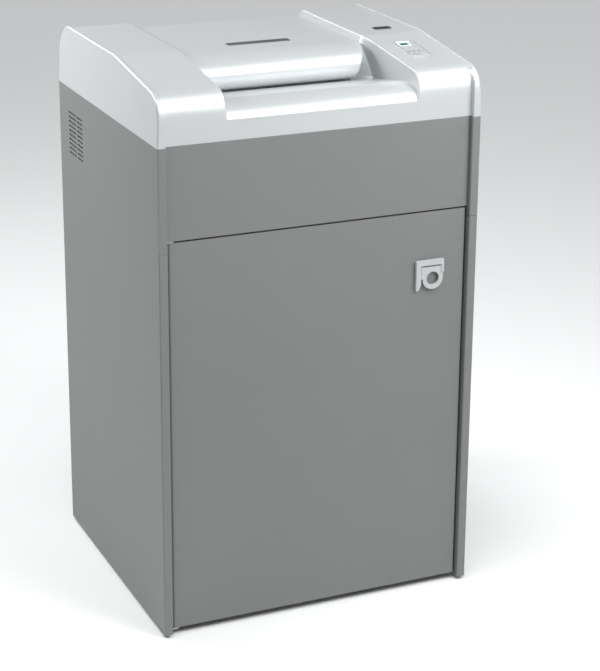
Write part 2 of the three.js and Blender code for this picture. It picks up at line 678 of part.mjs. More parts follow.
function ledgeShare(row) {
  return THREE.MathUtils.clamp((row - LEDGE_FIRST) / (ROW_COUNT - 3 - LEDGE_FIRST), 0, 1);
}

// How far a row is round the hood's front edge, where the rim's slope closes up.
function rollShare(row) {
  const first = LEDGE_FIRST + LEDGE_YS.length;
  return THREE.MathUtils.clamp((row - first) / (ROLL_ROWS - 1), 0, 1);
}

// Each station gives a profile and, for each row, its X.
function hoodStations() {
  const rimTop = HOOD_HEIGHT;
  const columnTop = HOOD_HEIGHT - RIM_RISE;
  const humpTop = columnTop - HUMP_DROP;
  const rim = shoulderProfile(rimTop, HALF - 0.3, -HALF, ROLL_START - 8);
  const rimEdge = shoulderProfile(rimTop - 1.6, HALF - 1.2, -HALF + 1.2, ROLL_START - 8);
  const column = shoulderProfile(columnTop, HALF - 3.5, FRONT_Y, ROLL_START);
  const hump = humpProfile(humpTop);
  const recess = recessProfile(humpTop);
  const inner = WIDTH / 2 - RIM_WIDTH;
  const draft = (height) => (DRAFT * height) / HOOD_HEIGHT;
  const rimFoot = (row) => inner + 0.4 + RIM_SLOPE * (1 - rollShare(row));

  const leftFoot = (row) => -HUMP_EDGE - 9 * noseShare(row);
  const noseEnd = (row) => {
    if (row >= LEDGE_FIRST) return 138 + 14 * ledgeShare(row);
    return HUMP_EDGE + 2 - 18 * noseShare(row);
  };
  const recessFoot = (row) => {
    if (row < NOSE_FIRST) return HUMP_EDGE + 3;
    if (row < LEDGE_FIRST) return HUMP_EDGE + 4 + 11.5 * noseShare(row);
    return 163.5 + 4.5 * Math.sin(Math.PI * ledgeShare(row));
  };
  const columnEdge = (row) => {
    if (row < LEDGE_FIRST) return COLUMN_EDGE + 5 * noseShare(row);
    return 165 + 4.5 * Math.sin(Math.PI * ledgeShare(row));
  };
  return [
    { profile: rimEdge, x: (row) => -WIDTH / 2 + draft(rimEdge[row][1]) },
    { profile: rim, x: (row) => -WIDTH / 2 + 2.4 + draft(rim[row][1]) },
    { profile: rim, x: (row) => -rimFoot(row) },
    { profile: column, x: () => -inner },
    { profile: column, x: () => -COLUMN_EDGE },
    { profile: hump, x: leftFoot },
    { profile: hump, x: noseEnd },
    { profile: recess, x: recessFoot },
    { profile: column, x: columnEdge },
    { profile: column, x: () => inner },
    { profile: rim, x: rimFoot },
    { profile: rim, x: (row) => WIDTH / 2 - 2.4 - draft(rim[row][1]) },
    { profile: rimEdge, x: (row) => WIDTH / 2 - draft(rimEdge[row][1]) },
  ];
}

// Skins closed loops of equal length into one closed solid, with flat ends.
function loft(loops) {
  const rows = loops[0].length;
  const positions = loops.flat(2);
  const faces = [];
  for (let s = 0; s < loops.length - 1; s++) {
    for (let row = 0; row < rows; row++) {
      const next = (row + 1) % rows;
      const a = s * rows + row;
      const b = s * rows + next;
      const c = a + rows;
      const d = b + rows;
      faces.push([a, b, d], [a, d, c]);
    }
  }
  const outline = loops[0].map(([, y, z]) => new THREE.Vector2(y, z));
  const last = (loops.length - 1) * rows;
  for (const [a, b, c] of THREE.ShapeUtils.triangulateShape(outline, [])) {
    faces.push([a, c, b], [last + a, last + b, last + c]);
  }
  const geometry = new THREE.BufferGeometry();
  geometry.setAttribute("position", new THREE.Float32BufferAttribute(positions, 3));
  geometry.setIndex(faces.flat());
  return geometry;
}

function hoodOuter() {
  const loops = hoodStations().map(({ profile, x }) =>
    profile.map(([y, height], row) => [x(row), y, HOOD_Z + height]));
  return loft(loops);
}

// Hollows: under the centre cover, under the ledge, and up inside both columns.
function hoodHollows() {
  const under = HOOD_Z - 1;
  const side = WIDTH / 2 - RIM_WIDTH - HOOD_WALL;
  const column = COLUMN_Z - HOOD_WALL;
  const hump = column - HUMP_DROP;
  const slotRear = SLOT_FRONT + SLOT_WIDTH;
  const ledge = (height) => HOOD_Z + height - HOOD_WALL;
  const rear = [
    [HALF - 8, under], [HALF - 8, HOOD_Z + 48], [HALF - 18, hump - 20], [HALF - 46, hump],
    [NOSE_START, hump], [-66, hump - 8], [-80, hump - 22], [-76, hump - 34],
    [slotRear + HOOD_WALL, HOOD_Z + 30], [slotRear + HOOD_WALL, under],
  ];
  const front = [
    [SLOT_FRONT - HOOD_WALL, under], [SLOT_FRONT - HOOD_WALL, ledge(LEDGE_REAR)],
    [CREST_Y, ledge(LEDGE_CREST) - 1], [-215, ledge(46)], [FRONT_Y + HOOD_WALL, ledge(28)],
    [FRONT_Y + HOOD_WALL, under],
  ];
  const shoulder = [
    [HALF - 8, under], [HALF - 8, HOOD_Z + 52], [HALF - 18, column - 18], [HALF - 46, column],
    [CREASE, column], [ROLL_START, column - (CREASE - ROLL_START) * Math.tan(INCLINE)],
    [-226, HOOD_Z + 63], [FRONT_Y + HOOD_WALL, HOOD_Z + 40], [FRONT_Y + HOOD_WALL, under],
  ];
  const outline = (points) => points.map(([y, z]) => new THREE.Vector2(y, z));
  const columnInner = COLUMN_EDGE + 14;
  const centre = COLUMN_EDGE - 14;
  return [
    prismX(outline(rear), -centre, centre - 20),
    prismX(outline(front), -side + 1, side - 1),
    prismX(outline(shoulder), -side, -columnInner + 6),
    prismX(outline(shoulder), columnInner, side),
    box(-side + 1, side - 1, slotRear + HOOD_WALL, HALF - 9, under, HOOD_Z + 30),
  ];
}

// Feed slot, cut through the floor of the loft's notch.
const FEED_X0 = -152;
const FEED_X1 = 129;

function feedSlot() {
  return box(FEED_X0, FEED_X1, SLOT_FRONT, SLOT_FRONT + SLOT_WIDTH, HOOD_Z - 1, HOOD_Z + 12);
}

// ---- Controls on the hood ----

const SWITCH = { x: 217, y: 2, length: 30, width: 14 };
const SWITCH_TILT = THREE.MathUtils.degToRad(8);
const PANEL = { x: 212, y: -121.5, width: 34, length: 71 };
const BEZEL_THICK = 1.4;

// Places a geometry that is drawn about the origin, face up, onto the incline at PANEL.
function onIncline(geometry) {
  const z = COLUMN_Z - (CREASE - PANEL.y) * Math.tan(INCLINE);
  return geometry.rotateX(INCLINE).translate(PANEL.x, PANEL.y, z);
}

const BUTTONS = {
  button_start: [-9.5, -15.5, 6],
  button_reverse: [-0.5, -15.5, 6],
  button_forward: [8.5, -15.5, 6],
  button_stop: [-5.5, -27.5, 8],
};
const BUTTON_WIDTH = 5;
const BUTTON_TRAVEL = 0.6;
const BUTTON_FOOT = 0.9; // foot beyond the cap, all round
const WINDOW_EDGE = 3; // the window in the hood, in from the bezel's edge
const SWITCH_FLANGE = 2;
const LENS = { x: -5, y: 20, width: 15, length: 12 };

// Rectangle about a middle point, with rounded corners if a radius is given.
function pad(x, y, width, length, radius = 0) {
  const [x0, x1, y0, y1] = [x - width / 2, x + width / 2, y - length / 2, y + length / 2];
  return radius > 0 ? roundedRectangle(x0, x1, y0, y1, radius) : rectangle(x0, x1, y0, y1);
}

function controlWindow() {
  const outline = pad(0, 0, PANEL.width - 2 * WINDOW_EDGE, PANEL.length - 2 * WINDOW_EDGE, 2);
  return onIncline(prismZ(outline, -12, 6));
}

// The switch's outline in plan, shrunk by some distance on every side.
function switchPad(edge, radius = 0) {
  return pad(SWITCH.x, SWITCH.y, SWITCH.length - 2 * edge, SWITCH.width - 2 * edge, radius);
}

function switchHole() {
  return prismZ(switchPad(SWITCH_FLANGE), COLUMN_Z - 12, COLUMN_Z + 4);
}

function controlBezel() {
  const plate = prismZ(pad(0, 0, PANEL.width, PANEL.length, 3), GAP, GAP + BEZEL_THICK);
  const holes = Object.values(BUTTONS).map(([x, y, length]) =>
    prismZ(pad(x, y, length + 2 * GAP, BUTTON_WIDTH + 2 * GAP, 2), -1, 6));
  const lens = prismZ(pad(LENS.x, LENS.y, LENS.width + 2 * GAP, LENS.length + 2 * GAP), -1, 6);
  return onIncline(cut(plate, ...holes, lens));
}

// A button's cap passes through the bezel, and its wider foot keeps it there.
function button(x, y, length) {
  const top = GAP + BEZEL_THICK + BUTTON_TRAVEL + 0.1;
  const cap = prismZ(pad(x, y, length, BUTTON_WIDTH, 1.8), -1.5, top);
  const foot = prismZ(pad(x, y, length + 2 * BUTTON_FOOT, BUTTON_WIDTH + 2 * BUTTON_FOOT), -2, -0.1);
  return onIncline(join(cap, foot));
}

function displayLens() {
  const outline = pad(LENS.x, LENS.y, LENS.width, LENS.length);
  return onIncline(prismZ(outline, -1, GAP + BEZEL_THICK - 0.2));
}

// Circuit board behind the bezel, held in the hood's window.
function controlBoard() {
  const edge = WINDOW_EDGE + GAP;
  const outline = pad(0, 0, PANEL.width - 2 * edge, PANEL.length - 2 * edge, 2);
  return onIncline(prismZ(outline, -4.6, -3.4));
}

function switchBezel() {
  const { x, y, length, width } = SWITCH;
  const flange = prismZ(switchPad(0, 2), COLUMN_Z + GAP, COLUMN_Z + GAP + BEZEL_THICK);
  const body = prismZ(switchPad(SWITCH_FLANGE + GAP), COLUMN_Z - 16, COLUMN_Z + GAP + 1);
  const well = prismZ(pad(x, y, length - 8, width - 7.2), COLUMN_Z - 12, COLUMN_Z + 4);
  return cut(join(flange, body), well);
}

// The rocker is drawn level, then tilted to its off position about its own pivot.
function rockerSwitch() {
  const halfLength = SWITCH.length / 2 - 5;
  const halfWidth = SWITCH.width / 2 - 3.9;
  const outline = [[-halfLength, -0.6], [-3, -4], [3, -4], [halfLength, -0.6], [halfLength, 0.9], [0, -0.1],
    [-halfLength, 0.9]].map(([a, b]) => new THREE.Vector2(a, b));
  const rocker = prismY(outline, -halfWidth, halfWidth).rotateY(SWITCH_TILT);
  return rocker.translate(SWITCH.x, SWITCH.y, COLUMN_Z + 0.4);
}

const NAMEPLATE = { x0: -58, x1: 52, y0: 7, y1: 23, thick: 0.8 };

function addHood() {
  const hood = cut(hoodOuter(), ...hoodHollows(), feedSlot(), controlWindow(), switchHole());
  add("hood", WHITE_PLASTIC, hood);
  const coverTop = COLUMN_Z - HUMP_DROP;
  add("nameplate", PLATE_GREY, prismZ(
    roundedRectangle(NAMEPLATE.x0, NAMEPLATE.x1, NAMEPLATE.y0, NAMEPLATE.y1, 2, 3),
    coverTop + GAP, coverTop + GAP + NAMEPLATE.thick,
  ));
  add("control_bezel", WHITE_PLASTIC, controlBezel());
  add("display_lens", LCD_GREEN, displayLens());
  add("control_board", BOARD_GREEN, controlBoard());
  for (const [name, [x, y, length]] of Object.entries(BUTTONS)) add(name, PLATE_GREY, button(x, y, length));
  add("switch_bezel", DARK_PLASTIC, switchBezel());
  add("rocker_switch", DARK_PLASTIC, rockerSwitch());
}

// ---- Cutting unit ----

// Discs and cores of one roll, with its shaft ends; `shift` sets the discs between the other roll's.
function cuttingRoll(axis, shift, shaftEnd) {
  const sides = 12;
  const first = -((DISC_COUNT - 1) / 2) * DISC_PITCH + shift;
  const shaftStart = -FRAME_X - FRAME_THICK - 4;
  const profile = [[0, shaftStart], [SHAFT_RADIUS, shaftStart]];
  profile.push([SHAFT_RADIUS, -FRAME_X + 1], [CORE_RADIUS, -FRAME_X + 1]);
  for (let i = 0; i < DISC_COUNT; i++) {
    const x = first + i * DISC_PITCH;
    const half = DISC_WIDTH / 2;
    profile.push([CORE_RADIUS, x - half], [DISC_RADIUS, x - half]);
    profile.push([DISC_RADIUS, x + half], [CORE_RADIUS, x + half]);
  }
  profile.push([CORE_RADIUS, FRAME_X - 1], [SHAFT_RADIUS, FRAME_X - 1]);
  profile.push([SHAFT_RADIUS, shaftEnd], [0, shaftEnd]);
  const points = profile.map(([r, x]) => new THREE.Vector2(r, x));
  return new THREE.LatheGeometry(points, sides).rotateZ(-Math.PI / 2).translate(0, axis.y, axis.z);
}

function cutterFrame(side, rear) {
  const x0 = side < 0 ? -FRAME_X - FRAME_THICK : FRAME_X;
  const ends = [NIP_Y - FRAME_FRONT, NIP_Y + rear];
  const plate = box(x0, x0 + FRAME_THICK, ...ends, PARTING_Z + GAP, PARTING_Z + FRAME_HEIGHT);
  const bores = [FRONT_ROLL, REAR_ROLL].map((axis) =>
    rod("x", SHAFT_RADIUS + RUNNING, x0 - 1, x0 + FRAME_THICK + 1, axis.y, axis.z));
  return cut(plate, ...bores);
}

// The drive side also carries the idler's stub shaft and lets the motor's shaft through.
function driveFrame() {
  const outer = FRAME_X + FRAME_THICK;
  const stub = rod("x", 6, outer - 1, DRIVE_X + DRIVE_WIDTH + 2, IDLER.y, IDLER.z, 16);
  const motorHole = rod("x", 10, FRAME_X - 1, outer + 1, MOTOR.y, MOTOR.z, 16);
  return join(cut(cutterFrame(1, DRIVE_FRAME_REAR), motorHole), stub);
}

// Involute-like spur gear outline about [y, z], with a tooth centred on the angle `phase`.
function gearOutline(centre, teeth, module, phase) {
  const pitch = (teeth * module) / 2;
  const pressure = THREE.MathUtils.degToRad(20);
  const base = pitch * Math.cos(pressure);
  const tip = pitch + 0.8 * module;
  const root = pitch - 1.1 * module;
  const backlash = 0.18;
  const involute = (radius) => {
    const angle = Math.acos(Math.min(base / radius, 1));
    return Math.tan(angle) - angle;
  };
  const halfTooth = Math.PI / (2 * teeth) - backlash / pitch;
  const halfAt = (radius) => halfTooth + involute(pitch) - involute(radius);
  const points = [];
  const flank = [[root, halfAt(root)], [pitch, halfAt(pitch)], [tip, halfAt(tip)]];
  for (let i = 0; i < teeth; i++) {
    const middle = phase + (2 * Math.PI * i) / teeth;
    const spots = [
      ...flank.map(([radius, half]) => [radius, middle - half]),
      ...flank.toReversed().map(([radius, half]) => [radius, middle + half]),
    ];
    for (const [radius, angle] of spots) {
      const along = [radius * Math.cos(angle), radius * Math.sin(angle)];
      points.push(new THREE.Vector2(centre.y + along[0], centre.z + along[1]));
    }
  }
  return points;
}

// Phase of a gear whose gap takes the tooth of the gear it meshes with.
function meshPhase(from, to, fromTeeth, toTeeth, fromPhase) {
  const line = Math.atan2(to.z - from.z, to.y - from.y);
  return line + Math.PI + Math.PI / toTeeth - ((fromPhase - line) * fromTeeth) / toTeeth;
}

function gear(centre, teeth, module, phase, x, width, bore) {
  const wheel = prismX(gearOutline(centre, teeth, module, phase), x, x + width);
  return cut(wheel, rod("x", bore, x - 1, x + width + 1, centre.y, centre.z, 16));
}

function addGears() {
  const bore = SHAFT_RADIUS + RUNNING;
  const frontPhase = 0;
  const rearPhase = meshPhase(FRONT_ROLL, REAR_ROLL, SYNC_TEETH, SYNC_TEETH, frontPhase);
  const sync = (axis, phase) => gear(axis, SYNC_TEETH, SYNC_MODULE, phase, SYNC_X, SYNC_WIDTH, bore);
  add("sync_gear_front", STEEL, sync(FRONT_ROLL, frontPhase));
  add("sync_gear_rear", STEEL, sync(REAR_ROLL, rearPhase));
  add("drive_gear", STEEL, gear(REAR_ROLL, DRIVE_TEETH, DRIVE_MODULE, 0, DRIVE_X, DRIVE_WIDTH, bore));
  const idlerPhase = meshPhase(REAR_ROLL, IDLER, DRIVE_TEETH, IDLER_TEETH, 0);
  const idler = gear(IDLER, IDLER_TEETH, DRIVE_MODULE, idlerPhase, DRIVE_X, DRIVE_WIDTH, 6 + RUNNING);
  add("idler_gear", DARK_PLASTIC, idler);
  const pinionPhase = meshPhase(IDLER, MOTOR, IDLER_TEETH, PINION_TEETH, idlerPhase);
  const pinionOutline = gearOutline(MOTOR, PINION_TEETH, DRIVE_MODULE, pinionPhase);
  const pinion = prismX(pinionOutline, DRIVE_X, DRIVE_X + DRIVE_WIDTH);
  const shaft = rod("x", 7, FRAME_X - 20, DRIVE_X + 1, MOTOR.y, MOTOR.z, 16);
  add("motor_pinion", STEEL, join(pinion, shaft));
}

// Geared motor: a finned can on a gearbox that stands on the deck beside the drive plate.
function addMotor() {
  const boxEnd = FRAME_X - GAP;
  const boxStart = boxEnd - GEARBOX_LENGTH;
  const half = MOTOR_RADIUS + 4;
  const casing = prismX(
    roundedRectangle(MOTOR.y - half, MOTOR.y + half, PARTING_Z + GAP, MOTOR.z + half, 10, 3), boxStart, boxEnd,
  );
  const bore = rod("x", 7 + RUNNING, boxEnd - 24, boxEnd + 1, MOTOR.y, MOTOR.z, 16);
  add("gearbox", MOTOR_PAINT, cut(casing, bore));
  const profile = [[0, 0], [MOTOR_RADIUS, 0]];
  const fins = 5;
  const pitch = MOTOR_LENGTH / (fins + 1);
  for (let i = 1; i <= fins; i++) {
    profile.push([MOTOR_RADIUS, i * pitch - 3], [MOTOR_RADIUS - 5, i * pitch - 3],
      [MOTOR_RADIUS - 5, i * pitch + 3], [MOTOR_RADIUS, i * pitch + 3]);
  }
  profile.push([MOTOR_RADIUS, MOTOR_LENGTH], [0, MOTOR_LENGTH]);
  const points = profile.map(([r, x]) => new THREE.Vector2(r, x));
  const can = new THREE.LatheGeometry(points, 20).rotateZ(-Math.PI / 2);
  add("motor", MOTOR_PAINT, can.translate(boxStart - GAP - MOTOR_LENGTH, MOTOR.y, MOTOR.z));
  const capacitorRadius = 19;
  add("run_capacitor", WHITE_PLASTIC, rod(
    "x", capacitorRadius, -110, -20, BACK_INNER - 45, PARTING_Z + 2 * GAP + capacitorRadius, 20,
  ));
}

// A comb whose fingers clear each groove of a roll.
function stripper(axis, direction, shift) {
  const rootY = axis.y + direction * (DISC_RADIUS + 10);
  const backY = axis.y + direction * (DISC_RADIUS + 2);
  const tipY = axis.y + direction * (CORE_RADIUS + 1.2);
  const half = (DISC_PITCH - DISC_WIDTH) / 2 - 1.6;
  const end = FRAME_X - GAP;
  const outline = [[-end, rootY], [-end, backY]];
  const first = -((DISC_COUNT - 2) / 2) * DISC_PITCH + shift;
  for (let i = 0; i < DISC_COUNT - 1; i++) {
    const x = first + i * DISC_PITCH;
    outline.push([x - half, backY], [x - half, tipY], [x + half, tipY], [x + half, backY]);
  }
  outline.push([end, backY], [end, rootY]);
  const points = outline.map(([x, y]) => new THREE.Vector2(x, y));
  return prismZ(points, axis.z - 2, axis.z + 2);
}

function addCuttingUnit() {
  const shift = DISC_PITCH / 4;
  add("cutter_frame_left", ZINC, cutterFrame(-1, FRAME_REAR));
  add("cutter_frame_right", ZINC, driveFrame());
  add("cutting_roll_front", STEEL, cuttingRoll(FRONT_ROLL, -shift, SYNC_X + SYNC_WIDTH + 1));
  add("cutting_roll_rear", STEEL, cuttingRoll(REAR_ROLL, shift, DRIVE_X + DRIVE_WIDTH + 2));
  add("stripper_front", ZINC, stripper(FRONT_ROLL, -1, -shift));
  add("stripper_rear", ZINC, stripper(REAR_ROLL, 1, shift));
  const end = FRAME_X - GAP;
  const guideLow = ROLL_Z + DISC_RADIUS + 2;
  const guideHigh = HOOD_Z - GAP;
  const guideThick = 2;
  const rearY = SLOT_FRONT + SLOT_WIDTH + 1;
  const guideBack = SLOT_FRONT - 1;
  add("feed_guide_front", ZINC, box(-end, end, guideBack - guideThick, guideBack, guideLow, guideHigh));
  add("feed_guide_rear", ZINC, box(-end, end, rearY, rearY + guideThick, guideLow, guideHigh));
  const ties = {
    tie_rod_front: [NIP_Y - FRAME_FRONT + 8, PARTING_Z + 30],
    tie_rod_rear: [NIP_Y + FRAME_REAR - 8, PARTING_Z + FRAME_HEIGHT - 12],
  };
  for (const [name, [y, z]] of Object.entries(ties)) {
    add(name, STEEL, rod("x", TIE_RADIUS, -end, end, y, z, 16));
  }
}

addCabinet();
addDoor();
addLatch();
add("waste_bin", BIN_PLASTIC, wasteBin());
addCasters();
addHousing();
add("power_inlet", DARK_PLASTIC, powerInlet());
addHood();
addCuttingUnit();
addGears();
addMotor();

export default shredder;
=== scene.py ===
"""Looks of the paper shredder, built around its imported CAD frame. Metres, +Z up, the front faces -Y."""
import json
import math

import bmesh
import bpy
from mathutils import Euler, Matrix, Vector


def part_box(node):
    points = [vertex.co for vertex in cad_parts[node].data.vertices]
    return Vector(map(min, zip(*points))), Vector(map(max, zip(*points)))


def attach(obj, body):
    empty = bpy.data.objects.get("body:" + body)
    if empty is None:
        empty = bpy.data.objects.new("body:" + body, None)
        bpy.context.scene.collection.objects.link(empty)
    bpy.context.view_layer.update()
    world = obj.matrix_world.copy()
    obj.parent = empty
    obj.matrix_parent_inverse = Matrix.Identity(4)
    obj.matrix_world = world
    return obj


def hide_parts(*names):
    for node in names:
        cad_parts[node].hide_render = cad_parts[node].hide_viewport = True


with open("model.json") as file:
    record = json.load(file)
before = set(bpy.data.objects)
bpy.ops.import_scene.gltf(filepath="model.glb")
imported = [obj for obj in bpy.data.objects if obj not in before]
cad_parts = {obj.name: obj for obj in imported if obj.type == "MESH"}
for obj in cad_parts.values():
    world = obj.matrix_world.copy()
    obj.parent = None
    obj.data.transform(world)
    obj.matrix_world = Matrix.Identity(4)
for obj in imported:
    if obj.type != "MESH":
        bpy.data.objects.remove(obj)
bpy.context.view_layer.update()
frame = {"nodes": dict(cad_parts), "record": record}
NODES = frame["nodes"]
SLOT_OF = {s["node"]: s["material_slot"] for s in frame["record"]["subparts"]}
BODY_OF = {n: body for body, members in frame["record"]["behaviour"]["bodies"].items() for n in members}
MM = 0.001

# ---- Camera, floor and lights ----

CAMERA_PLACE = Vector((-1239.2, -2959.2, 1590.3)) * MM
CAMERA_AZIMUTH = math.radians(-23.852)
CAMERA_ELEVATION = math.radians(18.377)
CAMERA_ROLL = math.radians(0.421)
CAMERA_LENS = 106.55
CAMERA_SHIFT = -0.1
CAMERA_REACH = 50
SKY_TINT = (0.97, 0.985, 1, 1)
SKY_STRENGTH = 0.26
SUN_STRENGTH = 1.2
SUN_SPREAD = math.radians(30)
SUN_TILT = (math.radians(12), math.radians(-14), 0)
FLOOR_SIZE = 90
FLOOR_TONE = (0.88, 0.885, 0.89, 1)
FLOOR_ROUGHNESS = 0.9


def make_camera():
    """A camera turned to its azimuth, elevation and roll, with azimuth 0 in front of the object."""
    a, e, r = CAMERA_AZIMUTH, CAMERA_ELEVATION, CAMERA_ROLL
    back = Vector((math.sin(a) * math.cos(e), -math.cos(a) * math.cos(e), math.sin(e)))
    level = Vector((0, 0, 1)).cross(back).normalized()
    over = back.cross(level)
    right = level * math.cos(r) + over * math.sin(r)
    up = over * math.cos(r) - level * math.sin(r)
    data = bpy.data.cameras.new("camera")
    data.lens = CAMERA_LENS
    data.shift_y = CAMERA_SHIFT
    data.clip_end = CAMERA_REACH
    camera = bpy.data.objects.new("camera", data)
    turn = Matrix((right, up, back)).transposed().to_4x4()
    camera.matrix_world = Matrix.Translation(CAMERA_PLACE) @ turn
    bpy.context.scene.collection.objects.link(camera)
    bpy.context.scene.camera = camera


def area_light(name, place, target, size, watts):
    data = bpy.data.lights.new(name, "AREA")
    data.shape = "RECTANGLE"
    data.size, data.size_y = size
    data.energy = watts
    lamp = bpy.data.objects.new(name, data)
    lamp.location = place
    aim = Vector(target) - Vector(place)
    lamp.rotation_euler = aim.to_track_quat("-Z", "Y").to_euler()
    bpy.context.scene.collection.objects.link(lamp)


def make_lights():
    """Four soft lamps and a broad overhead light under an even sky."""
    world = bpy.data.worlds.new("studio")
    world.use_nodes = True
    background = world.node_tree.nodes["Background"]
    background.inputs["Color"].default_value = SKY_TINT
    background.inputs["Strength"].default_value = SKY_STRENGTH
    bpy.context.scene.world = world
    area_light("front", (0.75, -1.4, 1.7), (0, 0, 0.8), (1.0, 0.5), 25)
    area_light("left", (-0.95, 0.4, 1.35), (-0.27, 0.1, 0.9), (0.5, 0.3), 8)
    area_light("strip", (0.6, -0.75, 2.2), (0, -0.1, 0.9), (1.8, 0.7), 11)
    area_light("rear", (-1.0, 1.7, 1.7), (0, 0.25, 0.5), (1.2, 0.8), 14)
    overhead = bpy.data.lights.new("overhead", "SUN")
    overhead.energy = SUN_STRENGTH
    overhead.angle = SUN_SPREAD
    lamp = bpy.data.objects.new("overhead", overhead)
    lamp.rotation_euler = SUN_TILT
    bpy.context.scene.collection.objects.link(lamp)
    bpy.context.scene.view_settings.view_transform = "Standard"


def make_floor():
    bpy.ops.mesh.primitive_plane_add(size=FLOOR_SIZE)
    floor = bpy.context.object
    floor.name = "floor"
    material = bpy.data.materials.new("floor")
    material.use_nodes = True
    shader = material.node_tree.nodes["Principled BSDF"]
    shader.inputs["Base Color"].default_value = FLOOR_TONE
    shader.inputs["Roughness"].default_value = FLOOR_ROUGHNESS
    floor.data.materials.append(material)


# ---- Materials ----

def link(tree, source, output, target, entry):
    tree.links.new(source.outputs[output], target.inputs[entry])


PLAIN = (1, 1, 1)
BRUSHED_ALONG_X = (0.05, 1, 1)
TURNED_ALONG_X = (1, 0.1, 0.1)
GRAIN_DEPTH = 0.0002
FINE_DEPTH = 0.0001
RAMP_START, RAMP_END = 0.3, 0.7
PATCH_DETAIL, GRAIN_DETAIL = 3, 2


def surface(name, colours, roughness, metallic, patch, grain, bump, depth=GRAIN_DEPTH, stretch=PLAIN):
    """A procedural finish: two close tones in soft patches, uneven gloss, and a fine grain as bump."""
    material = bpy.data.materials.new(name)
    material.use_nodes = True
    tree = material.node_tree
    shader = tree.nodes["Principled BSDF"]
    shader.inputs["Metallic"].default_value = metallic
    place = tree.nodes.new("ShaderNodeTexCoord")
    scaled = tree.nodes.new("ShaderNodeMapping")
    scaled.inputs["Scale"].default_value = stretch
    link(tree, place, "Object", scaled, "Vector")

    patches = tree.nodes.new("ShaderNodeTexNoise")
    patches.inputs["Scale"].default_value = patch
    patches.inputs["Detail"].default_value = PATCH_DETAIL
    link(tree, place, "Object", patches, "Vector")
    tones = tree.nodes.new("ShaderNodeValToRGB")
    tones.color_ramp.elements[0].position = RAMP_START
    tones.color_ramp.elements[1].position = RAMP_END
    tones.color_ramp.elements[0].color = (*colours[0], 1)
    tones.color_ramp.elements[1].color = (*colours[1], 1)
    link(tree, patches, "Fac", tones, "Fac")
    link(tree, tones, "Color", shader, "Base Color")

    gloss = tree.nodes.new("ShaderNodeMapRange")
    gloss.inputs["To Min"].default_value = roughness[0]
    gloss.inputs["To Max"].default_value = roughness[1]
    link(tree, patches, "Fac", gloss, "Value")
    link(tree, gloss, "Result", shader, "Roughness")

    fine = tree.nodes.new("ShaderNodeTexNoise")
    fine.inputs["Scale"].default_value = grain
    fine.inputs["Detail"].default_value = GRAIN_DETAIL
    link(tree, scaled, "Vector", fine, "Vector")
    relief = tree.nodes.new("ShaderNodeBump")
    relief.inputs["Strength"].default_value = bump
    relief.inputs["Distance"].default_value = depth
    link(tree, fine, "Fac", relief, "Height")
    link(tree, relief, "Normal", shader, "Normal")
    return material


def grey_lacquer():
    """Satin grey lacquer with a fine sprayed texture."""
    tones = ((0.18, 0.186, 0.182), (0.19, 0.196, 0.192))
    return surface("grey_panel", tones, (0.42, 0.52), metallic=0, patch=3, grain=1400, bump=0.1)


def hood_plastic():
    """Silver-white moulded plastic with a faint spark-eroded grain."""
    tones = ((0.56, 0.583, 0.592), (0.578, 0.6, 0.61))
    return surface("hood_plastic", tones, (0.33, 0.39), metallic=0.32, patch=4, grain=2200, bump=0.07)


def latch_plastic():
    tones = ((0.44, 0.46, 0.47), (0.46, 0.48, 0.49))
    return surface("latch_plastic", tones, (0.28, 0.38), metallic=0, patch=20, grain=2500, bump=0.06)


def dark_plastic():
    tones = ((0.02, 0.02, 0.022), (0.03, 0.03, 0.032))
    return surface("dark_plastic", tones, (0.35, 0.5), metallic=0, patch=30, grain=3000, bump=0.12)


def nameplate_metal():
    """Dark anodised strip, brushed along its length."""
    tones = ((0.12, 0.12, 0.125), (0.16, 0.16, 0.165))
    return surface("plate_grey", tones, (0.32, 0.42), metallic=0.6, patch=8, grain=1500, bump=0.15,
                   depth=FINE_DEPTH, stretch=BRUSHED_ALONG_X)


def key_plastic():
    tones = ((0.4, 0.42, 0.43), (0.44, 0.46, 0.47))
    return surface("key_grey", tones, (0.4, 0.5), metallic=0, patch=60, grain=3000, bump=0.1)


def display_window():
    """Dark green window under a gloss coat."""
    tones = ((0.02, 0.10, 0.075), (0.035, 0.14, 0.11))
    material = surface("lcd_window", tones, (0.1, 0.16), metallic=0, patch=120, grain=4000, bump=0.02)
    material.node_tree.nodes["Principled BSDF"].inputs["Coat Weight"].default_value = 0.6
    return material


def machined_steel():
    tones = ((0.42, 0.43, 0.44), (0.5, 0.51, 0.52))
    return surface("steel", tones, (0.25, 0.42), metallic=0.95, patch=14, grain=1200, bump=0.2,
                   depth=FINE_DEPTH, stretch=TURNED_ALONG_X)


def zinc_plate():
    tones = ((0.42, 0.44, 0.45), (0.52, 0.54, 0.55))
    return surface("zinc", tones, (0.35, 0.5), metallic=0.85, patch=25, grain=500, bump=0.1)


def shelf_board():
    tones = ((0.24, 0.245, 0.24), (0.27, 0.275, 0.27))
    return surface("shelf_board", tones, (0.5, 0.6), metallic=0, patch=5, grain=900, bump=0.15)


def bin_plastic():
    tones = ((0.045, 0.05, 0.055), (0.06, 0.065, 0.07))
    return surface("bin_plastic", tones, (0.45, 0.6), metallic=0, patch=8, grain=1200, bump=0.2)


def wheel_rubber():
    tones = ((0.02, 0.02, 0.02), (0.035, 0.035, 0.035))
    return surface("wheel_rubber", tones, (0.7, 0.85), metallic=0, patch=40, grain=1500, bump=0.3)


def motor_paint():
    tones = ((0.05, 0.055, 0.06), (0.065, 0.07, 0.075))
    return surface("motor_paint", tones, (0.4, 0.55), metallic=0.2, patch=20, grain=700, bump=0.3)


def circuit_board():
    tones = ((0.01, 0.09, 0.035), (0.02, 0.12, 0.05))
    return surface("board_green", tones, (0.3, 0.45), metallic=0, patch=200, grain=3000, bump=0.1)


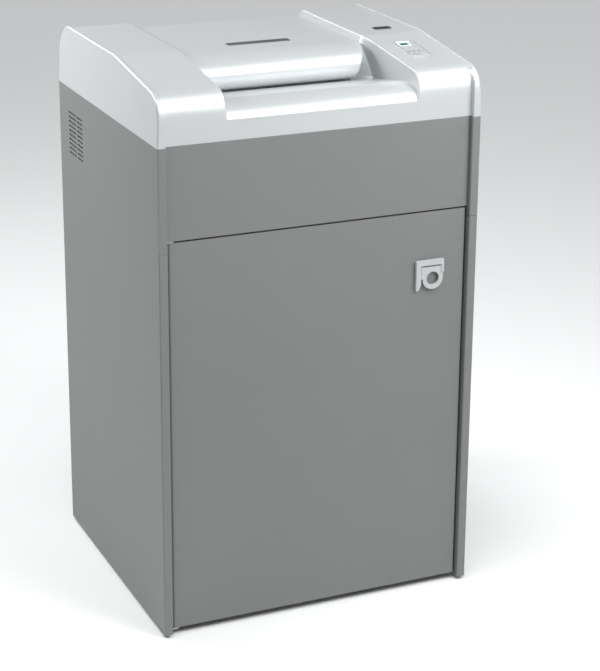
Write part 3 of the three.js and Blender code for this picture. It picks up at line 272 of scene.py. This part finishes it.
def gear_plastic():
    tones = ((0.035, 0.035, 0.04), (0.05, 0.05, 0.055))
    return surface("gear_plastic", tones, (0.4, 0.5), metallic=0, patch=40, grain=2000, bump=0.1)


def light_bar_plastic():
    """Mint-white clear plastic that frames the display."""
    tones = ((0.72, 0.85, 0.84), (0.78, 0.9, 0.89))
    return surface("light_bar", tones, (0.15, 0.25), metallic=0, patch=90, grain=3000, bump=0.03)


def printed_grey():
    """Thin screen-printed outline."""
    tones = ((0.17, 0.18, 0.19), (0.2, 0.21, 0.22))
    return surface("printed_grey", tones, (0.5, 0.6), metallic=0, patch=150, grain=3000, bump=0.05)


MATERIALS = {
    "grey_panel": grey_lacquer(),
    "hood_plastic": hood_plastic(),
    "latch_plastic": latch_plastic(),
    "dark_plastic": dark_plastic(),
    "plate_grey": nameplate_metal(),
    "key_grey": key_plastic(),
    "lcd_window": display_window(),
    "steel": machined_steel(),
    "zinc": zinc_plate(),
    "shelf_board": shelf_board(),
    "bin_plastic": bin_plastic(),
    "wheel_rubber": wheel_rubber(),
    "motor_paint": motor_paint(),
    "board_green": circuit_board(),
    "gear_plastic": gear_plastic(),
    "light_bar": light_bar_plastic(),
    "printed_grey": printed_grey(),
}


# ---- Mesh helpers ----

SMOOTH_ANGLE = math.radians(38)
BEVEL_ANGLE = math.radians(32)
FLAT_ANGLE = math.radians(0.5)
EDGE_SEGMENTS = 3
SAME_POINT = 1e-6
CLOSE_POINTS = 2e-5
SHORT_EDGE = 1e-5


def finish_mesh(obj, material):
    """One material, smooth faces, and sharp edges where the faces turn."""
    obj.data.materials.clear()
    obj.data.materials.append(material)
    for polygon in obj.data.polygons:
        polygon.use_smooth = True
    obj.data.set_sharp_from_angle(angle=SMOOTH_ANGLE)


def object_from(name, bm, material):
    mesh = bpy.data.meshes.new(name)
    bm.normal_update()
    bm.to_mesh(mesh)
    bm.free()
    obj = bpy.data.objects.new(name, mesh)
    bpy.context.scene.collection.objects.link(obj)
    finish_mesh(obj, material)
    return obj


def settle(obj, body):
    """Makes obj ride a body."""
    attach(obj, body)
    return obj


def even_out(obj):
    """Keeps large flat faces evenly lit beside small rounded ones."""
    weighted = obj.modifiers.new("even_faces", "WEIGHTED_NORMAL")
    weighted.keep_sharp = True


def soften(node, width):
    """Stands for a CAD node with the same shape and its outer edges rounded over."""
    bm = bmesh.new()
    bm.from_mesh(NODES[node].data)
    bmesh.ops.remove_doubles(bm, verts=bm.verts, dist=SAME_POINT)
    bmesh.ops.dissolve_limit(bm, angle_limit=FLAT_ANGLE, verts=bm.verts, edges=bm.edges)
    sharp = [e for e in bm.edges if e.is_manifold and e.calc_face_angle_signed(0) > BEVEL_ANGLE]
    bmesh.ops.bevel(bm, geom=sharp, offset=width * MM, offset_type="OFFSET", segments=EDGE_SEGMENTS,
                    profile=0.5, affect="EDGES", clamp_overlap=True)
    obj = object_from(node + "_skin", bm, MATERIALS[SLOT_OF[node]])
    even_out(obj)
    settle(obj, BODY_OF[node])
    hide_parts(node)
    return obj


def carve(obj, cutters):
    """Cuts closed meshes out of obj."""
    for cutter in cutters:
        modifier = obj.modifiers.new("carve", "BOOLEAN")
        modifier.operation = "DIFFERENCE"
        modifier.solver = "EXACT"
        modifier.object = cutter
        graph = bpy.context.evaluated_depsgraph_get()
        mesh = bpy.data.meshes.new_from_object(obj.evaluated_get(graph))
        obj.modifiers.clear()
        obj.data = mesh
        bpy.data.objects.remove(cutter)
    return obj


def block(name, low, high):
    """A plain box to cut with."""
    bm = bmesh.new()
    bmesh.ops.create_cube(bm, size=1)
    low, high = Vector(low), Vector(high)
    size = high - low
    for vert in bm.verts:
        vert.co = Vector(c * s for c, s in zip(vert.co, size)) + (low + high) / 2
    return object_from(name, bm, MATERIALS["hood_plastic"])


# ---- Hood: a moulded shell lofted across its width, in millimetres until it is built ----

HOOD_LOW, HOOD_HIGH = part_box("hood")
HOOD_Z = HOOD_LOW.z / MM
HOOD_HEIGHT = (HOOD_HIGH.z - HOOD_LOW.z) / MM
HALF_WIDTH = HOOD_HIGH.x / MM
HALF_DEPTH = -HOOD_LOW.y / MM
FRONT_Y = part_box("housing_front")[0].y / MM
SHELL = 3.0
DRAFT = 3.5  # how far the outer faces lean in over the hood's height
INCLINE = math.radians(7)

# The rims along both sides, and the columns between them and the hump
RIM_WIDTH = 14.0
RIM_RISE = 3.0
RIM_SLOPE = 5.0
RIM_RADIUS = 3.0
SLOPE_RADIUS = 0.8
RIM_INSET = 0.3
COLUMN_SET_IN = 3.5
COLUMN_EDGE = 160.0
COLUMN_LEAN = 5.0
LEFT_COLUMN_RADIUS = 2.0
RIGHT_COLUMN_RADIUS = 2.5
CREASE = -40.0
ROLL_START = -206.0
RIM_ROLL_LEAD = 8.0

# The hump, which is the cover over the cutting rolls, and its nose
HUMP_EDGE = 148.0
HUMP_DROP = 9.0
LEFT_FOOT = 140.0
LEFT_TUCK = 17.0
NOSE_START = -32.0
NOSE_TIP = (-90, 29)  # place, and drop below the hump's top
NOSE_TUCK = 26.0
NOSE_RADIUS = 4.0

# The feed slot and the ledge in front of it
SLOT_WIDTH = 12.0
SLOT_FRONT = -76.0
SLOT_FOOT = 6.0
LEDGE_REAR = 35.0
LEDGE_CREST = 54.5
CREST_Y = -187.0
LEDGE_END = 138
LEDGE_WIDENS = 14
LIP_CLEARANCE = 2.5

# The finger recess: a wall that runs from deep at the nose to shallow at the column
DEEP_FOOT = -54
SHALLOW_FOOT = -76
SHALLOW_LEAD = 2
WALL_BEND = (0.32, 11)  # share of the wall's depth, and drop below the hump's top
RECESS_TURN = 0.25
RECESS_SPREAD = 11.5
RECESS_WALL = 163.5
LEDGE_BULGE = 4.5

# Straight parts of the outer faces, as heights, and the places of the rows between the curves
REAR_STRAIGHT = 35
REAR_BEND = 11
FRONT_STRAIGHT = 32
FRONT_BEND = 75
LEDGE_STRAIGHT = 31
FLAT_YS = (200.0, 60.0)
LEDGE_YS = (-95.0, -120.0, -146.0, -168.0)
REAR_ROWS, NOSE_ROWS, UNDER_ROWS, ROLL_ROWS, SLOT_ROWS = 12, 16, 10, 16, 4
NOSE_FIRST = 2 + REAR_ROWS + len(FLAT_YS)
SLOT_FIRST = NOSE_FIRST + NOSE_ROWS + UNDER_ROWS
LEDGE_FIRST = SLOT_FIRST + SLOT_ROWS
ROLL_FIRST = LEDGE_FIRST + len(LEDGE_YS)
ROW_COUNT = ROLL_FIRST + ROLL_ROWS + 2


def curve_rows(start, control, end, count):
    """Points of a quadratic curve, without its last one."""
    rows = []
    for i in range(count):
        t = i / count
        u = 1 - t
        rows.append(tuple(u * u * a + 2 * u * t * b + t * t * c for a, b, c in zip(start, control, end)))
    return rows


def slope_height(y, flat):
    return flat if y > CREASE else flat - (CREASE - y) * math.tan(INCLINE)


def rear_rows(back, flat, start, drop, reach):
    """The back face, straight from its foot and then curved over on to the flat top."""
    rows = [(back, 0), (back, REAR_STRAIGHT)]
    rows += curve_rows((back, start), (back - REAR_BEND, flat - drop), (FLAT_YS[0] + reach, flat), REAR_ROWS)
    return rows + [(y, flat) for y in FLAT_YS]


def shoulder_profile(flat, back, front, roll):
    """Rims and columns: flat, then an incline that rolls over into the front."""
    rows = rear_rows(back, flat, start=56, drop=8, reach=3)
    between = NOSE_ROWS + UNDER_ROWS + SLOT_ROWS
    for i in range(between):
        y = NOSE_START + (SLOT_FRONT - NOSE_START) * i / (between - 1)
        rows.append((y, slope_height(y, flat)))
    rows += [(y, slope_height(y, flat)) for y in LEDGE_YS]
    straight = (front, FRONT_STRAIGHT)
    rows += curve_rows((roll, slope_height(roll, flat)), (front, FRONT_BEND), straight, ROLL_ROWS)
    return rows + [straight, (front, 0)]


def ledge_rows():
    """The ledge, which rises to its crest and rolls over into the front."""
    rise = (LEDGE_CREST - LEDGE_REAR) / (SLOT_FRONT - CREST_Y)
    bend = (FRONT_Y + 6, LEDGE_CREST - 2)
    rows = [(y, LEDGE_REAR + (SLOT_FRONT - y) * rise) for y in LEDGE_YS]
    rows += curve_rows((CREST_Y, LEDGE_CREST), bend, (FRONT_Y, LEDGE_STRAIGHT), ROLL_ROWS)
    return rows + [(FRONT_Y, LEDGE_STRAIGHT), (FRONT_Y, 0)]


def hump_rear(flat):
    return rear_rows(HALF_DEPTH - COLUMN_SET_IN, flat, start=50, drop=7, reach=1)


def hump_profile(flat):
    """Centre cover: a rounded nose that curls under, the feed slot, and the ledge."""
    tip = (NOSE_TIP[0], flat - NOSE_TIP[1])
    slot_rear = SLOT_FRONT + SLOT_WIDTH
    lip = (slot_rear, LEDGE_REAR + LIP_CLEARANCE)
    rows = hump_rear(flat)
    rows += curve_rows((NOSE_START, flat), (tip[0] + 2, flat - 2), tip, NOSE_ROWS)
    rows += curve_rows(tip, (tip[0] - 3, LEDGE_REAR + 1), lip, UNDER_ROWS)
    rows += [lip, (slot_rear, SLOT_FOOT), (SLOT_FRONT, SLOT_FOOT), (SLOT_FRONT, LEDGE_REAR)]
    return rows + ledge_rows()


def recess_profile(flat, top, foot):
    """Finger recess at the nose's right-hand end: a steep wall from the cover down to the ledge."""
    low = LEDGE_REAR + LIP_CLEARANCE
    shoulder = (top - WALL_BEND[0] * (top - foot), flat - WALL_BEND[1])
    rows = hump_rear(flat)
    rows += curve_rows((top, flat - 1), shoulder, (foot, low), NOSE_ROWS + UNDER_ROWS)
    rows += [(foot - i * 0.5, low - i * 0.4) for i in range(SLOT_ROWS)]
    return rows + ledge_rows()


def inset(profile, distances):
    """The profile moved into the solid, square to itself, by a distance of its own for each row."""
    moved = []
    last = len(profile) - 1
    for i, (y, z) in enumerate(profile):
        before, after = profile[max(i - 1, 0)], profile[min(i + 1, last)]
        along = Vector((after[0] - before[0], after[1] - before[1])).normalized()
        keep_base = i in (0, last)
        moved.append((y - along.y * distances[i], z if keep_base else z + along.x * distances[i]))
    return moved


def mix(first, second, share):
    return [tuple(a + (b - a) * share for a, b in zip(p, q)) for p, q in zip(first, second)]


def share_of(row, first, last):
    return min(max((row - first) / (last - first), 0), 1)


def nose_share(row):
    return share_of(row, NOSE_FIRST, SLOT_FIRST)


def ledge_share(row):
    return share_of(row, LEDGE_FIRST, ROW_COUNT - 3)


def roll_share(row):
    """How far a row is round the front edge, where the rim's slope closes up."""
    return share_of(row, ROLL_FIRST, ROLL_FIRST + ROLL_ROWS - 1)


def left_foot(row):
    """Foot of the bevel between the left column and the hump."""
    return -LEFT_FOOT - LEFT_TUCK * nose_share(row)


def nose_end(row):
    """Right-hand end of the hump, the nose and the slot."""
    if row >= LEDGE_FIRST:
        return LEDGE_END + LEDGE_WIDENS * ledge_share(row)
    return HUMP_EDGE + 2 - NOSE_TUCK * nose_share(row) ** 1.4


def ledge_bulge(row):
    return LEDGE_BULGE * math.sin(math.pi * ledge_share(row))


def recess_foot(row):
    """Foot of the right column's wall, on the recess side."""
    if row < NOSE_FIRST:
        return HUMP_EDGE + 3
    if row < LEDGE_FIRST:
        return HUMP_EDGE + 4 + RECESS_SPREAD * nose_share(row) ** 0.4
    return RECESS_WALL + ledge_bulge(row)


def column_edge(row):
    """Top edge of the right column's wall."""
    if row < LEDGE_FIRST:
        return COLUMN_EDGE + COLUMN_LEAN * nose_share(row)
    return COLUMN_EDGE + COLUMN_LEAN + ledge_bulge(row)


def across_recess(place):
    """Rule for a station at a share of the way from the nose's end to the column's wall."""
    return lambda row: nose_end(row) + (recess_foot(row) - nose_end(row)) * place


ROUND_STEPS = ((0.0, 1.0), (0.134, 0.5), (0.5, 0.134), (1.0, 0.0))  # share of the radius down, and in


def edge_radii(profile, neighbour, radius):
    """Each row's radius, which fades out where the neighbour is level with the profile."""
    radii = []
    for (y, z), (other_y, other_z) in zip(profile, neighbour):
        radii.append(min(radius, 0.45 * math.hypot(y - other_y, z - other_z)))
    return radii


def rounded_edge(profile, edge, radii, side):
    """Stations that round a profile's edge over; the solid lies on the given side of the edge."""
    steps = []
    for down, away in ROUND_STEPS:
        lowered = inset(profile, [radius * down for radius in radii])
        steps.append((lowered, lambda row, a=away: edge(row) + side * radii[row] * a))
    return steps


def rim_stations(rim, side):
    """From the outer face to the foot of the slope on the inside of the rim."""
    inner = HALF_WIDTH - RIM_WIDTH + RIM_INSET

    def outer_x(row):
        return side * (HALF_WIDTH - DRAFT * rim[row][1] / HOOD_HEIGHT)

    def slope_top(row):
        return side * (inner + RIM_SLOPE * (1 - roll_share(row)))

    outside = list(reversed(rounded_edge(rim, outer_x, [RIM_RADIUS] * ROW_COUNT, -side)))
    return outside + rounded_edge(rim, slope_top, [SLOPE_RADIUS] * ROW_COUNT, side)


def recess_stations(hump, hump_top):
    """From the rounded end of the nose, across the finger recess, to the foot of the column's wall."""
    deep = recess_profile(hump_top, NOSE_START, DEEP_FOOT)
    shallow = recess_profile(hump_top, NOSE_START - SHALLOW_LEAD, SHALLOW_FOOT)
    nose_radii = edge_radii(hump, deep, NOSE_RADIUS)
    stations = rounded_edge(hump, nose_end, nose_radii, -1)
    rounded = inset(hump, nose_radii)
    for place, blend in ((0.08, 0.5), (0.16, 0.85)):
        stations.append((mix(rounded, deep, blend), across_recess(place)))
    for share in (0, 0.33, 0.67, 1):
        turned = mix(deep, shallow, share)
        stations.append((turned, across_recess(RECESS_TURN + (1 - RECESS_TURN) * share)))
    return stations, shallow


def hood_stations():
    """Every profile with its rule for x, from the left face to the right one."""
    column_top = HOOD_HEIGHT - RIM_RISE
    hump_top = column_top - HUMP_DROP
    rim = shoulder_profile(HOOD_HEIGHT, HALF_DEPTH - RIM_INSET, -HALF_DEPTH, ROLL_START - RIM_ROLL_LEAD)
    column = shoulder_profile(column_top, HALF_DEPTH - COLUMN_SET_IN, FRONT_Y, ROLL_START)
    hump = hump_profile(hump_top)
    inner = HALF_WIDTH - RIM_WIDTH

    stations = rim_stations(rim, -1)
    stations.append((column, lambda row: -inner))
    left_radii = edge_radii(column, hump, LEFT_COLUMN_RADIUS)
    stations += rounded_edge(column, lambda row: -COLUMN_EDGE, left_radii, -1)
    stations.append((hump, left_foot))
    stations.append((hump, lambda row: 0.0))
    across, shallow = recess_stations(hump, hump_top)
    stations += across
    right_radii = edge_radii(column, shallow, RIGHT_COLUMN_RADIUS)
    stations += list(reversed(rounded_edge(column, column_edge, right_radii, 1)))
    stations.append((column, lambda row: inner))
    return stations + list(reversed(rim_stations(rim, 1)))


def loft_hood():
    """The outer skin, open underneath and through the feed slot."""
    bm = bmesh.new()
    grid = []
    for profile, x in hood_stations():
        points = [Vector((x(row), y, HOOD_Z + height)) * MM for row, (y, height) in enumerate(profile)]
        grid.append([bm.verts.new(p) for p in points])
    hump_left = 3 * len(ROUND_STEPS) + 1  # after the rounded rim, slope and column, and the column's edge
    slot_strips = (hump_left, hump_left + 1)
    for s in range(len(grid) - 1):
        for row in range(ROW_COUNT - 1):
            if row == SLOT_FIRST + 1 and s in slot_strips:
                continue
            bm.faces.new((grid[s][row], grid[s][row + 1], grid[s + 1][row + 1], grid[s + 1][row]))
    bm.faces.new(list(reversed(grid[0])))
    bm.faces.new(grid[-1])
    bmesh.ops.remove_doubles(bm, verts=bm.verts, dist=CLOSE_POINTS)
    bmesh.ops.dissolve_degenerate(bm, edges=bm.edges, dist=SHORT_EDGE)
    bmesh.ops.recalc_face_normals(bm, faces=bm.faces)
    if sum(face.normal.z * face.calc_area() for face in bm.faces) < 0:
        bmesh.ops.reverse_faces(bm, faces=bm.faces)
    return bm


CUT_GAP = 0.3
SWITCH_WALL = 2
BEZEL_LIP = 3
CUT_REACH = 20


def control_cutters():
    """Holes behind the control bezel and the rocker switch, worked out from the pieces that sit in them."""
    low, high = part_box("switch_bezel")
    wall = SWITCH_WALL * MM
    switch = block("switch_cutter", (low.x + wall, low.y + wall, low.z - wall),
                   (high.x - wall, high.y - wall, high.z + wall))
    low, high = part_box("control_board")
    bezel_low, bezel_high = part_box("control_bezel")
    middle = (bezel_low + bezel_high) / 2
    half_x = (high.x - low.x) / 2 + CUT_GAP * MM
    half_y = (bezel_high.y - bezel_low.y) / 2 / math.cos(INCLINE) - BEZEL_LIP * MM
    half_z = CUT_REACH * MM
    window = block("window_cutter", (-half_x, -half_y, -half_z), (half_x, half_y, half_z))
    window.matrix_world = Matrix.Translation(middle) @ Euler((INCLINE, 0, 0)).to_matrix().to_4x4()
    bpy.context.view_layer.update()
    return [switch, window]


def make_hood():
    """The loft, thickened inwards and cut for the controls."""
    hood = object_from("hood_shell", loft_hood(), MATERIALS["hood_plastic"])
    thick = hood.modifiers.new("thick", "SOLIDIFY")
    thick.thickness = SHELL * MM
    thick.offset = -1
    thick.use_even_offset = False
    graph = bpy.context.evaluated_depsgraph_get()
    hood.data = bpy.data.meshes.new_from_object(hood.evaluated_get(graph))
    hood.modifiers.clear()
    carve(hood, control_cutters())
    finish_mesh(hood, MATERIALS["hood_plastic"])
    even_out(hood)
    settle(hood, "cabinet")
    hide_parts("hood")


# ---- Control panel details ----

PRINT_THICK = 0.25
FRAME_THICK = 0.5
BEZEL_HALF_THICK = 0.7
WALL_SHARE = 0.7
CORNER_STEPS = 5
OUTLINE_MARGIN = 1.0
OUTLINE_WINDOW = 2.2
FRAME_MARGIN = (5, 4)
FRAME_GAP = 0.6
OUTLINE_CORNERS = (2.6, 2.0)
FRAME_CORNERS = (1.2, 0.4)
BAR_CORNER = 1.0
BAR_PLACE = (-2.5, 4)
BAR_SIZE = (25, 3.6)
KEY_FOOT = 1.8
KEY_LENGTH = 5.0
RIM_MARGIN = 2.2
RIM_GAP = 0.7


def rounded_rectangle(centre, width, length, radius):
    points = []
    for quarter, (sx, sy) in enumerate(((1, 1), (-1, 1), (-1, -1), (1, -1))):
        x = centre[0] + sx * (width / 2 - radius)
        y = centre[1] + sy * (length / 2 - radius)
        for i in range(CORNER_STEPS + 1):
            angle = math.pi / 2 * (quarter + i / CORNER_STEPS)
            points.append((x + radius * math.cos(angle), y + radius * math.sin(angle)))
    return points


def bridge(bm, lower, upper):
    """Faces between two closed loops with the same number of points."""
    count = len(lower)
    for i in range(count):
        j = (i + 1) % count
        bm.faces.new((lower[i], lower[j], upper[j], upper[i]))


def loop_of(bm, place, points, height):
    return [bm.verts.new(place @ (Vector((x, y, height)) * MM)) for x, y in points]


def raised_plate(name, place, outer, inner, thickness, finish):
    """A thin plate on a face, with a bevelled rim and an optional window."""
    bm = bmesh.new()
    base = loop_of(bm, place, outer, 0)
    wall = loop_of(bm, place, outer, thickness * WALL_SHARE)
    bridge(bm, base, wall)
    middle = Vector((sum(x for x, _ in outer), sum(y for _, y in outer))) / len(outer)
    trim = thickness * (1 - WALL_SHARE)

    def shrunk(points, sign):
        return [tuple(Vector(p) - sign * (Vector(p) - middle).normalized() * trim) for p in points]

    top = loop_of(bm, place, shrunk(outer, 1), thickness)
    bridge(bm, wall, top)
    if inner:
        inner_top = loop_of(bm, place, shrunk(inner, -1), thickness)
        inner_base = loop_of(bm, place, inner, 0)
        bridge(bm, top, inner_top)
        bridge(bm, inner_top, inner_base)
        bridge(bm, inner_base, base)
    else:
        bm.faces.new(top)
        bm.faces.new(list(reversed(base)))
    bmesh.ops.recalc_face_normals(bm, faces=bm.faces)
    return settle(object_from(name, bm, MATERIALS[finish]), "cabinet")


def middle_of(node):
    low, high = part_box(node)
    return (low + high) / 2


def make_panel_details():
    """Printed outline, display frame, light bar and key rims on the control bezel."""
    tilt = Euler((INCLINE, 0, 0)).to_matrix()
    top = middle_of("control_bezel") + tilt @ Vector((0, 0, BEZEL_HALF_THICK * MM))
    place = Matrix.Translation(top) @ tilt.to_4x4()
    to_panel = place.inverted()
    low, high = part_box("control_bezel")
    width = (high.x - low.x) / MM
    length = (high.y - low.y) / MM / math.cos(INCLINE)

    outer = rounded_rectangle((0, 0), width - OUTLINE_MARGIN, length - OUTLINE_MARGIN, OUTLINE_CORNERS[0])
    inner = rounded_rectangle((0, 0), width - OUTLINE_WINDOW, length - OUTLINE_WINDOW, OUTLINE_CORNERS[1])
    raised_plate("panel_outline", place, outer, inner, PRINT_THICK, "printed_grey")

    lens = to_panel @ middle_of("display_lens") / MM
    low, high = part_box("display_lens")
    lens_size = ((high.x - low.x) / MM, (high.y - low.y) / MM / math.cos(INCLINE))
    frame_size = (lens_size[0] + FRAME_MARGIN[0], lens_size[1] + FRAME_MARGIN[1])
    outer = rounded_rectangle(lens, *frame_size, FRAME_CORNERS[0])
    inner = rounded_rectangle(lens, lens_size[0] + FRAME_GAP, lens_size[1] + FRAME_GAP, FRAME_CORNERS[1])
    raised_plate("display_frame", place, outer, inner, FRAME_THICK, "light_bar")
    bar = rounded_rectangle((BAR_PLACE[0], length / 2 - BAR_PLACE[1]), *BAR_SIZE, BAR_CORNER)
    raised_plate("light_bar", place, bar, None, FRAME_THICK, "light_bar")

    for node in ("button_start", "button_reverse", "button_forward", "button_stop"):
        centre = to_panel @ middle_of(node) / MM
        low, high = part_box(node)
        key_width = (high.x - low.x) / MM - KEY_FOOT
        outer = rounded_rectangle(centre, key_width + RIM_MARGIN, KEY_LENGTH + RIM_MARGIN, OUTLINE_CORNERS[0])
        inner = rounded_rectangle(centre, key_width + RIM_GAP, KEY_LENGTH + RIM_GAP, OUTLINE_CORNERS[1])
        raised_plate(node + "_rim", place, outer, inner, PRINT_THICK, "printed_grey")


# ---- Fasteners on the back ----

SCREW_RADIUS = 4.2
SCREW_RISE = 1.6
SOCKET_RADIUS = 1.9
SOCKET_DEPTH = 1.2
SCREW_SEGMENTS = 24
SCREW_INSET = 14
HEAD_CURVE = ((1, 0), (0.98, 0.45), (0.86, 1.1), (0.66, 1.5), (0.5, SCREW_RISE))


def hexagon_radius(angle):
    """How far the socket's wall is from its axis, in one direction."""
    sector = (angle + math.pi / 6) % (math.pi / 3) - math.pi / 6
    return SOCKET_RADIUS * math.cos(math.pi / 6) / math.cos(sector)


def screw_head(name, place):
    """A button-head screw with a hexagon socket, standing on the face at place."""
    bm = bmesh.new()
    angles = [2 * math.pi * i / SCREW_SEGMENTS for i in range(SCREW_SEGMENTS)]
    loops = []
    for share, height in HEAD_CURVE:
        points = [(SCREW_RADIUS * share * math.cos(a), SCREW_RADIUS * share * math.sin(a)) for a in angles]
        loops.append(loop_of(bm, place, points, height))
    for height in (SCREW_RISE, SCREW_RISE - SOCKET_DEPTH):
        points = [(hexagon_radius(a) * math.cos(a), hexagon_radius(a) * math.sin(a)) for a in angles]
        loops.append(loop_of(bm, place, points, height))
    for lower, upper in zip(loops, loops[1:]):
        bridge(bm, lower, upper)
    bm.faces.new(loops[-1])
    bm.faces.new(list(reversed(loops[0])))
    bmesh.ops.recalc_face_normals(bm, faces=bm.faces)
    return settle(object_from(name, bm, MATERIALS["zinc"]), "cabinet")


def make_back_screws():
    """Screws down both edges of the two back panels, as shares of each panel's height."""
    face_out = Euler((math.radians(-90), 0, 0)).to_matrix().to_4x4()
    rows = {"back_panel": (0.08, 0.5, 0.92), "housing_back": (0.14, 0.86)}
    for node, shares in rows.items():
        low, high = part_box(node)
        columns = {"left": low.x + SCREW_INSET * MM, "right": high.x - SCREW_INSET * MM}
        for column, x in columns.items():
            for i, share in enumerate(shares):
                place = Matrix.Translation((x, high.y, low.z + (high.z - low.z) * share))
                screw_head(f"{node}_screw_{column}_{i + 1}", place @ face_out)


# ---- Everything else ----

EDGE_RADIUS = {
    "side_panel_left": 1.0, "side_panel_right": 1.0, "housing_side_right": 1.0, "housing_side_left": 0.5,
    "back_panel": 1.0, "housing_back": 0.8, "housing_front": 1.2, "door_panel": 1.2,
    "base_plate": 0.8, "deck_plate": 0.6, "waste_bin": 1.0,
    "latch_plate": 0.8, "latch_ring": 0.9, "latch_keeper": 0.4, "magnet_catch": 0.8,
    "power_inlet": 0.5, "nameplate": 0.3, "control_bezel": 0.35, "display_lens": 0.2,
    "switch_bezel": 0.4, "rocker_switch": 0.3, "gearbox": 1.5,
    "button_start": 0.3, "button_reverse": 0.3, "button_forward": 0.3, "button_stop": 0.3,
    "pivot_bracket_lower": 0.3, "pivot_bracket_upper": 0.3,
    "cutter_frame_left": 0.5, "cutter_frame_right": 0.5,
}


def make_skins():
    for node, width in EDGE_RADIUS.items():
        soften(node, width)


def dress_carried_nodes():
    """CAD pieces whose shape is right get their finish."""
    for node, obj in NODES.items():
        finish_mesh(obj, MATERIALS[SLOT_OF[node]])


make_camera()
make_floor()
make_lights()
dress_carried_nodes()
make_skins()
make_hood()
make_panel_details()
make_back_screws()
